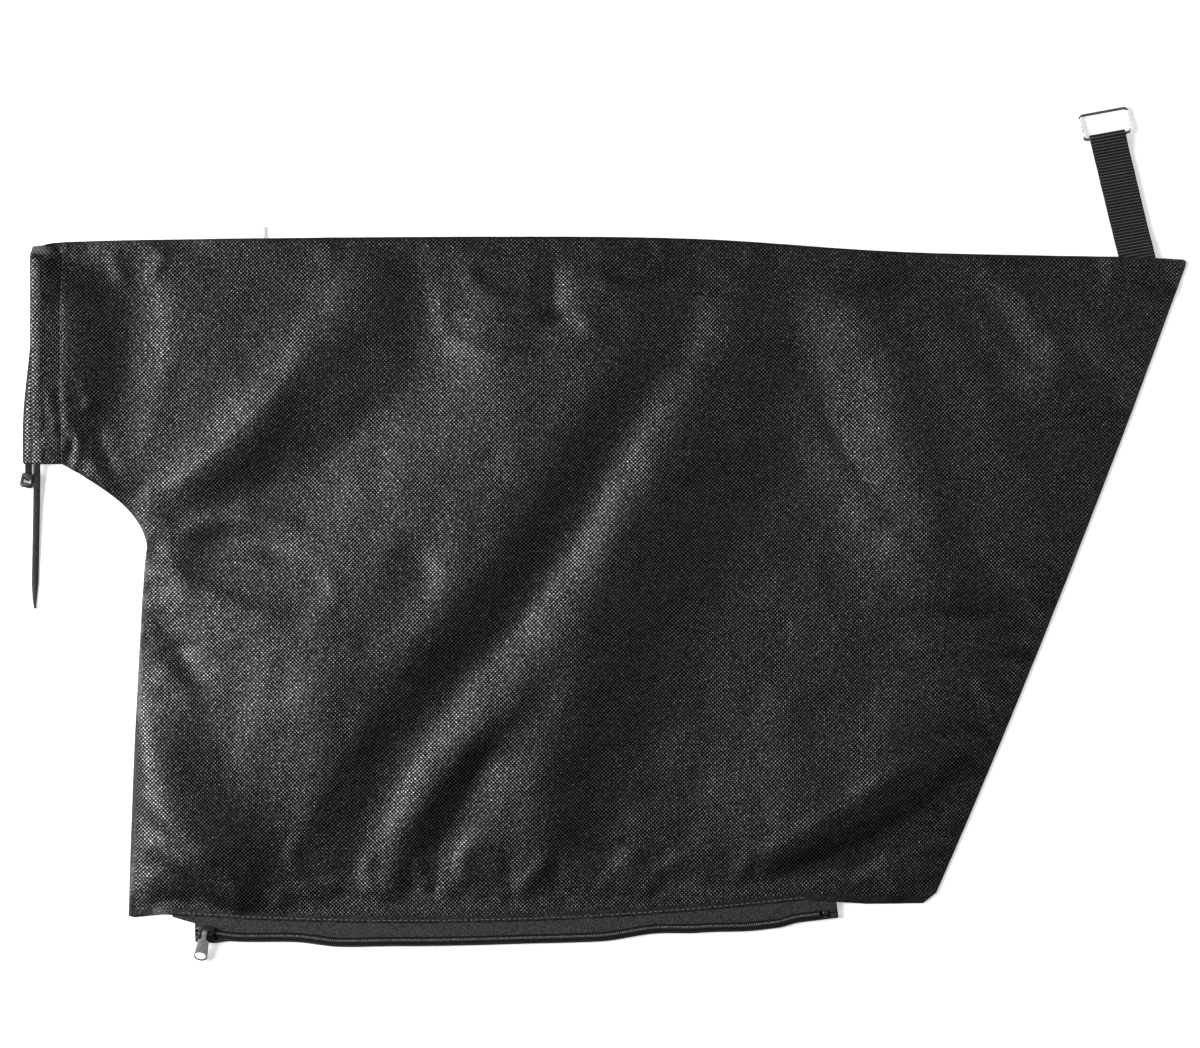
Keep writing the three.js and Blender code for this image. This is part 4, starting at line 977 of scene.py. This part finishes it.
def coil_row(name, side, nylon, node):
    mesh = bmesh.new()
    for n in range(int((STOP_AT - COIL_START - 2) / TOOTH_PITCH)):
        add_tooth(mesh, COIL_START + (n + (side > 0) / 2) * TOOTH_PITCH, side)
    return dress(finish_mesh(name, mesh), "bag", nylon, node)


# Section of the cord, as distances from the chain's middle and heights over the coil's underside
CORD_SECTION = [(0.95, 1.7), (1.3, 1.95), (2.0, 1.95), (2.4, 1.6), (2.5, 1), (2.5, 0)]
CORD_THICK = 0.25


def chain_cord(name, side, tape):
    """The sewn edge of the tape, which covers the outer part of the coil."""
    def place(along, n):
        out, up = CORD_SECTION[n]
        return chain_place(along, side * (out + parted(along)), COIL_Z + up)

    lines = list(range(len(CORD_SECTION)))
    mesh = face_outward(grid_mesh(steps(SLIDER_NOSE + 3, STOP_AT - 1.6, 2), lines, place))
    return layer(name, mesh, CORD_THICK, -1, tape)


# Stitches: their length, the space between them and the thickness of the thread

SEAM_STITCH = (2.9, 0.9, 0.5)
STRAP_STITCH = (2.2, 0.7, 0.42)
FIRST_STITCH = 0.4  # start of a row to its first stitch
PANEL_ROW = PANEL_EDGE - 2  # rows along the zip, off its chain
TAPE_ROW = -6.6
ROW_SPOTS = 160  # places that such a row is drawn through
STRAP_ROWS = {62: -9.5, 68: 9.5}  # distance along the strap, and the side where the row starts


def add_stitch(mesh, start, end, thick):
    """A short length of thread that dips into the cloth at both ends."""
    along = (end - start).normalized()
    across = along.cross(Vector((0, 0, 1))).normalized()
    up = across.cross(along)
    for vert in bmesh.ops.create_uvsphere(mesh, u_segments=6, v_segments=6, radius=0.5)["verts"]:
        x, y, z = vert.co
        rise = y + 0.6 * cos(pi * z) - 0.35
        vert.co = start.lerp(end, z + 0.5) + (across * x + up * rise) * thick


def stitch_line(mesh, places, stitch=SEAM_STITCH):
    """Stitches along a line of places in space."""
    length, space, thick = stitch
    lengths = [0.0]
    for a, b in zip(places, places[1:]):
        lengths.append(lengths[-1] + (b - a).length)
    xs, ys, zs = (np.array([place[k] for place in places]) for k in range(3))

    def on_line(distance):
        return Vector([float(np.interp(distance, lengths, values)) for values in (xs, ys, zs)])

    done = FIRST_STITCH
    while done + length < lengths[-1]:
        add_stitch(mesh, on_line(done), on_line(done + length), thick)
        done += length + space


def panel_top(x, y):
    """Places on the front panel's upper face."""
    x, y = np.array(x, float), np.array(y, float)
    return [Vector(p) for p in zip(x, y, panel_height(x, y) + CLOTH)]


def bag_stitches(thread):
    mesh = bmesh.new()
    ys = np.linspace(NECK_FOOT + 2, -MOUTH_DROP - 1.5, 90)
    stitch_line(mesh, panel_top(np.full(ys.shape, STITCH_X), ys))
    spots = np.linspace(ZIP_FROM + 6, ZIP_TO - 22, ROW_SPOTS)
    arc = np.array([on_zip(along, PANEL_ROW) for along in spots])
    stitch_line(mesh, panel_top(arc[:, 0], arc[:, 1]))
    spots = np.linspace(SLIDER_AT + 9, ZIP_TO - 40, ROW_SPOTS)
    stitch_line(mesh, [chain_place(along, TAPE_ROW, CHAIN_TAPE_Z + TAPE_THICK) for along in spots])
    return dress(finish_mesh("seam_thread", mesh), "bag", thread)


# Hanging strap

STRAP_LENGTH = 89  # seam to the ring's bar
RING_WIDTH = 36.4
RING_HEIGHT = 20
RING_WIRE = 2.6
RING_CORNER = 2.7
BAR_Z = STRAP_THICK + GAP + RING_WIRE / 2


def along_strap(distance, side=0.0):
    """A place on the strap, which is skewed: its ribs lean less than its length does."""
    lean, skew = radians(STRAP_LEAN), radians(RING_LEAN)
    x = STRAP_ROOT[0] - sin(lean) * distance + cos(skew) * side
    y = STRAP_ROOT[1] + cos(lean) * distance + sin(skew) * side
    return np.array((x, y))


def strap_profile():
    """The strap's middle layer from under the seam round the ring's bar and back."""
    half = STRAP_THICK / 2
    rise = GAP + RING_WIRE / 2
    rest = 3 * half + GAP
    lower = [(-STRAP_SEWN, SEAM_Z + half), (6, SEAM_Z + half), (18, half), (31, half), (53, half),
             (76, half), (86, half)]
    turn = [(STRAP_LENGTH + (rise + half) * cos(a), BAR_Z + (rise + half) * sin(a))
            for a in np.linspace(-pi / 2, pi / 2, 10)]
    upper = [(86, BAR_Z + rise + half - 0.2), (80, rest + 1.2), (73, rest), (53, rest), (31, rest),
             (18, rest), (6, rest + SEAM_Z), (-STRAP_SEWN, rest + SEAM_Z)]
    return [np.array(p) for p in lower + turn + upper]


STRAP_LINES = [-1, -0.96, -0.8, -0.5, -0.2, 0.1, 0.4, 0.7, 0.9, 1]  # shares of half its width
STRAP_STEP = 0.75
EDGE_WANDER = 0.16  # unevenness of the strap's edges


def hanging_strap(webbing):
    line = np.array(curve_points(strap_profile(), 5))
    lengths = np.concatenate(([0], np.cumsum(np.linalg.norm(np.diff(line, axis=0), axis=1))))
    spots = np.arange(0, lengths[-1], STRAP_STEP)
    xs, zs = np.interp(spots, lengths, line[:, 0]), np.interp(spots, lengths, line[:, 1])
    rng = np.random.default_rng(3)
    wander = np.convolve(rng.normal(0, EDGE_WANDER, len(spots) + 8), np.ones(9) / 9, "valid")

    def place(n, share):
        x, y = along_strap(xs[n], share * (STRAP_WIDTH / 2) + wander[n] * abs(share))
        return Vector((x, y, zs[n] * (1 - 0.05 * share ** 2) + 0.03))

    mesh = grid_mesh(list(range(len(spots))), STRAP_LINES, place)
    weave = mesh.loops.layers.uv.new("weave")
    mesh.verts.index_update()
    for face in mesh.faces:
        for loop in face.loops:
            row, column = divmod(loop.vert.index, len(spots))
            loop[weave].uv = (row / (len(STRAP_LINES) - 1) * STRAP_WIDTH, spots[column])
    return layer("strap_webbing", mesh, STRAP_THICK - 0.1, 0, webbing, "hanging_strap")


def strap_stitches(thread):
    """Two rows across the strap, which close it behind the ring."""
    mesh = bmesh.new()
    level = 2 * STRAP_THICK + GAP + 0.02
    for distance, side in STRAP_ROWS.items():
        ends = [Vector((*along_strap(distance, end), level)) for end in (side, -side)]
        stitch_line(mesh, ends, STRAP_STITCH)
    return dress(finish_mesh("strap_thread", mesh), "bag", thread)


# Ring, label, and eased copies of the small hard parts

def ring_path(half, height):
    """The middle of the wire, counter-clockwise round its four corners, 9 places to each."""
    path = []
    for n, (x, y) in enumerate([(1, 0), (1, 1), (-1, 1), (-1, 0)]):
        middle = Vector((x * (half - RING_CORNER), mix(RING_CORNER, height - RING_CORNER, y), 0))
        for turn in np.linspace(n - 1, n, 9) * pi / 2:
            path.append(middle + Vector((cos(turn), sin(turn), 0)) * RING_CORNER)
    return path


def strap_ring(nickel):
    """The ring's wire, which leans on the floor from its bar in the strap's fold."""
    height = RING_HEIGHT - RING_WIRE
    place = (Matrix.Translation((*along_strap(STRAP_LENGTH), BAR_Z))
             @ Matrix.Rotation(radians(RING_LEAN), 4, "Z")
             @ Matrix.Rotation(-np.arcsin((BAR_Z - RING_WIRE / 2) / height), 4, "X"))
    path = ring_path((RING_WIDTH - RING_WIRE) / 2, height)
    count = len(path)

    def on_wire(n, angle):
        along = (path[(n + 1) % count] - path[(n - 1) % count]).normalized()
        out = Vector((along.y * cos(angle), -along.x * cos(angle), sin(angle)))
        return place @ (path[n % count] + out * RING_WIRE / 2)

    mesh = grid_mesh(list(range(count + 1)), list(np.linspace(0, 2 * pi, 25)), on_wire)
    ring = finish_mesh("ring_wire", face_outward(mesh, 0.001))
    return dress(ring, "ring", nickel, "strap_ring")


TAB_END = 3  # length of the tab's end that its middle is taken from
OVAL_IN = 3.4  # tab's tip to the middle of its oval
OVAL_UP = 0.66  # tab's middle plane to its face
OVAL_RINGS = [(0, 1), (0.35, 1), (0.65, 0.9), (0.88, 0.7), (1, 0)]  # shares of its half and height
# A black oval round the polished one: painted dark reflection at its rim
DARK_RIM_PAINTED_REFLECTION = (0.35, (2.95, 4.45), 0.06)  # shift to the tip, half sizes along and across, and height
# Near white and hardly metallic: a painted reflection in the tab's polished oval
POLISHED_END_PAINTED_REFLECTION = (-0.15, (2.6, 4.05), 0.16)


def tab_oval(name, shift, half, rise, material):
    """A low oval at the pull tab's round end, which carries a painted reflection."""
    lean = radians(-90 - TAB_LEAN) + SLIDER_AT / ZIP_RADIUS
    drop = radians(TAB_DROP)
    along = Vector((cos(lean) * cos(drop), sin(lean) * cos(drop), -sin(drop)))
    across = Vector((-sin(lean), cos(lean), 0))
    up = along.cross(across)
    verts = [vert.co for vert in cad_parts["zip_pull_tab"].data.vertices]
    reach = max(vert @ along for vert in verts)
    tip = [vert for vert in verts if reach - vert @ along < TAB_END * MM]
    middle = sum(tip, Vector()) / len(tip)
    middle = middle + along * (reach - middle @ along + (shift - OVAL_IN) * MM)
    middle = middle + up * OVAL_UP * MM

    def place(ring, angle):
        share, height = ring
        x, y = half[0] * share * cos(angle), half[1] * share * sin(angle)
        return middle + (along * x + across * y + up * height * rise) * MM

    mesh = face_outward(grid_mesh(OVAL_RINGS, list(np.linspace(0, 2 * pi, 33)), place), 1e-6)
    return dress(placed_mesh(name, mesh), "tab", material)


LABEL_OUT = 8.65  # how far it stands out of the seam
LABEL_CURL = 0.35


def blank_label(satin):
    low, rise = SEAM_Z + 0.2, LABEL_THICK + GAP
    outs = (-LABEL_SEWN, -3, 0, 4)
    bend = [(LABEL_OUT + rise / 2 * cos(a), low + rise / 2 + rise / 2 * sin(a))
            for a in np.linspace(-pi / 2, pi / 2, 7)]
    line = [(out, low) for out in outs] + bend + [(out, low + rise) for out in outs[::-1]]
    sides = steps(LABEL_X - LABEL_WIDTH / 2, LABEL_X + LABEL_WIDTH / 2, 1.75)

    def place(x, spot):
        out, z = spot
        return Vector((x, out, z + LABEL_CURL * max(out, 0) / LABEL_OUT * (1 + sin((x - LABEL_X) / 6))))

    mesh = face_outward(grid_mesh(sides, line, place))
    return layer("label_ribbon", mesh, LABEL_THICK, 0, satin, "seam_label")


WELD = 2e-6  # metres
FLAT_TURN = radians(2)  # faces that turn less than this are one
SHARP_TURN = radians(35)  # edges that turn more than this are eased
SHADE_TURN = radians(40)
CAST_EASE = 0.22  # bevels of die-cast, moulded and stamped edges
MOULDED_EASE = 0.18
STAMPED_EASE = 0.2


def eased_copy(node, name, body, material, ease):
    """A copy of a hard part of the frame with its sharp edges rounded."""
    mesh = bmesh.new()
    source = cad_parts[node]
    mesh.from_mesh(source.data)
    mesh.transform(source.matrix_world)
    bmesh.ops.remove_doubles(mesh, verts=mesh.verts, dist=WELD)
    bmesh.ops.dissolve_limit(mesh, angle_limit=FLAT_TURN, verts=mesh.verts, edges=mesh.edges)
    sharp = [edge for edge in mesh.edges
             if len(edge.link_faces) == 2 and edge.calc_face_angle(0) > SHARP_TURN]
    bmesh.ops.bevel(mesh, geom=sharp, offset=ease * MM, segments=3, profile=0.5, affect="EDGES",
                    material=-1, clamp_overlap=True)
    piece = placed_mesh(name, mesh)
    piece.data.set_sharp_from_angle(angle=SHADE_TURN)
    return dress(piece, body, material, node)


# Finishes

DOT_PITCH = 1.92  # of the lattice pressed into the cloth, in millimetres
DOT_CORE = 0.48  # radius of a dot's flat middle, and of its outer edge
DOT_EDGE = 0.86


def cloth_dots(cloth):
    """1 on each pressed dot of a lattice that stands on its corner."""
    turned = cloth.node("Mapping", {"Vector": cloth.place(), "Rotation": (0, 0, radians(45))})
    pitch = DOT_PITCH * MM
    cell = cloth.vector("WRAP", turned.outputs[0], (pitch, pitch, 1), (0, 0, -1))
    middle = cloth.vector("SUBTRACT", cell, (pitch / 2, pitch / 2, 0))
    away = cloth.vector("MULTIPLY", middle, (1, 1, 0))
    length = cloth.node("VectorMath", {0: away}, operation="LENGTH").outputs["Value"]
    return cloth.span(length, DOT_CORE * MM, DOT_EDGE * MM, 1, 0)


def cloth_finish():
    """Black spunbonded cloth, pressed with a lattice of small shiny dots, plain along its seams."""
    cloth = Shading("black_spunbond", grey(0.03), 0.46, metallic=1.0)
    seam = cloth.node("Attribute", attribute_name="seam").outputs["Fac"]
    pressed = cloth.span(seam, 0.38, 0.5, 0, 1)
    dot = cloth.math("MULTIPLY", cloth_dots(cloth), pressed)
    grain = cloth.noise(620, 3, 0.7)
    shine = cloth.ramp(grain, [(0.28, 0.022), (0.5, 0.1), (0.72, 0.27)])
    fibres = cloth.ramp(grain, [(0.3, 0.002), (0.7, 0.009)])
    border = cloth.ramp(grain, [(0.3, 0.012), (0.7, 0.075)])
    cloth.feed("Base Color", cloth.blend(dot, cloth.blend(pressed, border, fibres), shine))
    cloth.feed("Roughness", cloth.span(dot, 0, 1, 0.5, 0.42, soft=False))
    uneven = cloth.bump(cloth.noise(420, 1, 0.5), 0.00035)
    cloth.feed("Normal", cloth.bump(dot, -0.0001, under=uneven))
    return cloth.material


def tape_finish():
    """Black polyester tape, closely woven."""
    tape = Shading("woven_tape", grey(0.02), 0.7, specular=0.3)
    grain = tape.noise(900, 3, 0.7)
    tape.tint(grain, (0.38, 0.002), (0.62, 0.045))
    tape.feed("Normal", tape.bump(grain, 0.0002))
    return tape.material


def nylon_finish():
    """Black nylon, moulded, a little uneven."""
    nylon = Shading("black_nylon", grey(0.012), 0.34)
    spots = nylon.noise(900, 3, 0.5)
    nylon.feed("Roughness", nylon.span(spots, 0.3, 0.7, 0.26, 0.46))
    nylon.feed("Normal", nylon.bump(spots, 0.00004))
    return nylon.material


def mottled_finish(name, level, roughness, grain, stops, metallic=0.0, specular=0.5):
    """A finish whose grey alone is uneven."""
    finish = Shading(name, grey(level), roughness, metallic, specular)
    finish.tint(finish.noise(*grain), *stops)
    return finish.material


RIB_PITCH = 2.15  # of the webbing, and of its yarns, in millimetres
YARN_PITCH = 1.3


def webbing_finish():
    """Black webbing: ribs across it, and the finer run of its yarns; its colour follows the ribs'
    height, a painted highlight on their crests and painted shade between them.
    """
    webbing = Shading("black_webbing", grey(0.03), 0.55, specular=0.3)
    weave = webbing.node("UVMap", uv_map="weave").outputs["UV"]
    parts = webbing.node("SeparateXYZ", {"Vector": weave})
    across, along = parts.outputs["X"], parts.outputs["Y"]
    grain = webbing.noise(2400, 2, 0.6)
    wander = webbing.math("MULTIPLY_ADD", grain, 0.5, along)
    rib = webbing.math("SINE", webbing.math("MULTIPLY", wander, 2 * pi / RIB_PITCH))
    yarn = webbing.math("SINE", webbing.math("MULTIPLY", across, 2 * pi / YARN_PITCH))
    height = webbing.math("MULTIPLY_ADD", webbing.math("MULTIPLY", rib, yarn), 0.3, rib)
    height = webbing.math("MULTIPLY_ADD", grain, 0.8, height)
    # Colour by the ribs' height: painted highlight on their crests, painted shade in the grooves
    rib_light_and_shade = webbing.span(height, -0.7, 1.7, 0, 1, soft=False)
    webbing.tint(rib_light_and_shade, (0.0, 0.001), (0.55, 0.006), (1.0, 0.13))
    webbing.feed("Normal", webbing.bump(height, 0.0003))
    return webbing.material


def gunmetal_finish():
    """Dark gunmetal plating, satin, rubbed brighter in places."""
    metal = Shading("gunmetal", grey(0.1), 0.3, metallic=1.0)
    rubbed = metal.noise(300, 3, 0.5)
    metal.tint(rubbed, (0.35, 0.05), (0.7, 0.18))
    metal.feed("Roughness", metal.span(rubbed, 0.3, 0.7, 0.36, 0.24))
    return metal.material


def hazed_finish(name, color, metallic, scale, detail, low, high):
    """A bright smooth finish with a faint uneven haze."""
    finish = Shading(name, color, (low + high) / 2, metallic=metallic)
    haze = finish.noise(scale, detail, 0.5)
    finish.feed("Roughness", finish.span(haze, 0.3, 0.7, low, high))
    return finish.material


def satin_finish():
    """White satin ribbon with its fine ribs."""
    satin = Shading("white_satin", grey(0.88, 0.99), 0.5)
    ribs = {"Vector": satin.place(), "Scale": 900.0, "Distortion": 0.4}
    weave = satin.node("TexWave", ribs, bands_direction="X").outputs["Fac"]
    satin.tint(weave, (0.0, 0.82), (1.0, 0.93), blue=0.988)
    satin.feed("Normal", satin.bump(weave, 0.00003))
    return satin.material


add_camera()
bpy.context.scene.view_settings.view_transform = "Standard"
add_world()
for name, settings in LAMPS.items():
    add_lamp(name, *settings)
add_floor()

cloth = cloth_finish()
tape = tape_finish()
nylon = nylon_finish()
metal = gunmetal_finish()
panel = {"flat": cut_size(), "area": cut_area(hem_outline())}
front = cloth_panel("bag_front", FRONT_STEP, panel_height, -1, cloth, "front_panel")
back = cloth_panel("bag_back", BACK_STEP, back_height, 1, cloth, "back_panel")
upper_tape = front_tape(tape)
folded_tape = back_tape(tape)
# The coil's black nylon in a lighter grey for the inner row: painted highlight on its teeth
coil_painted_highlight = mottled_finish("coil_nylon_painted_highlight", 0.1, 0.34, (500, 2, 0.5), [(0.35, 0.05), (0.7, 0.2)])
# The tape's sewn edge along the coil, near black and dull, darker than the tape: black tape with
# painted shade beside the teeth
cord = mottled_finish("tape_cord_painted_shade", 0.004, 0.8, (1400, 2, 0.6), [(0.3, 0.001), (0.7, 0.01)], 0, 0.15)
# Black sewing thread drawn in mid grey: painted highlight on the stitches, with an uneven grey along
# them
thread = mottled_finish("black_thread_painted_highlight", 0.06, 0.36, (3000, 2, 0.5), [(0.35, 0.06), (0.7, 0.3)])
plating = mottled_finish("grey_plating", 0.24, 0.42, (420, 4, 0.6), [(0.35, 0.19), (0.7, 0.3)], 0.35)
# The inner row wears the painted highlight; the outer row has the plain black nylon
coil_row("zip_teeth_inner", -1, coil_painted_highlight, "zip_coil_front")
coil_row("zip_teeth_outer", 1, nylon, "zip_coil_back")
chain_cord("zip_cord_inner", -1, cord)
chain_cord("zip_cord_outer", 1, cord)
bag_stitches(thread)
strap = hanging_strap(webbing_finish())
strap_stitches(thread)
strap_ring(hazed_finish("bright_nickel", grey(0.86), 1.0, 260, 3, 0.1, 0.24))
label = blank_label(satin_finish())
eased_copy("zip_slider", "slider_body", "slider", metal, CAST_EASE)
eased_copy("zip_pull_tab", "slider_tab", "tab", plating, CAST_EASE)
# Black nylon on the tab's metal end: painted dark reflection round its polished oval
tab_oval("tab_rim_painted_reflection", *DARK_RIM_PAINTED_REFLECTION, nylon)
# The polished oval drawn near white: painted reflection of the lamps
painted_reflection = hazed_finish("polished_end_painted_reflection", grey(0.95, 1), 0.1, 300, 2, 0.14, 0.26)
tab_oval("tab_polish_painted_reflection", *POLISHED_END_PAINTED_REFLECTION, painted_reflection)
eased_copy("cable_tie", "tie_moulding", "bag", nylon, MOULDED_EASE)
for stop in ("zip_top_stop_front", "zip_top_stop_back", "zip_bottom_stop"):
    eased_copy(stop, stop.replace("zip_", "crimped_"), "bag", metal, STAMPED_EASE)
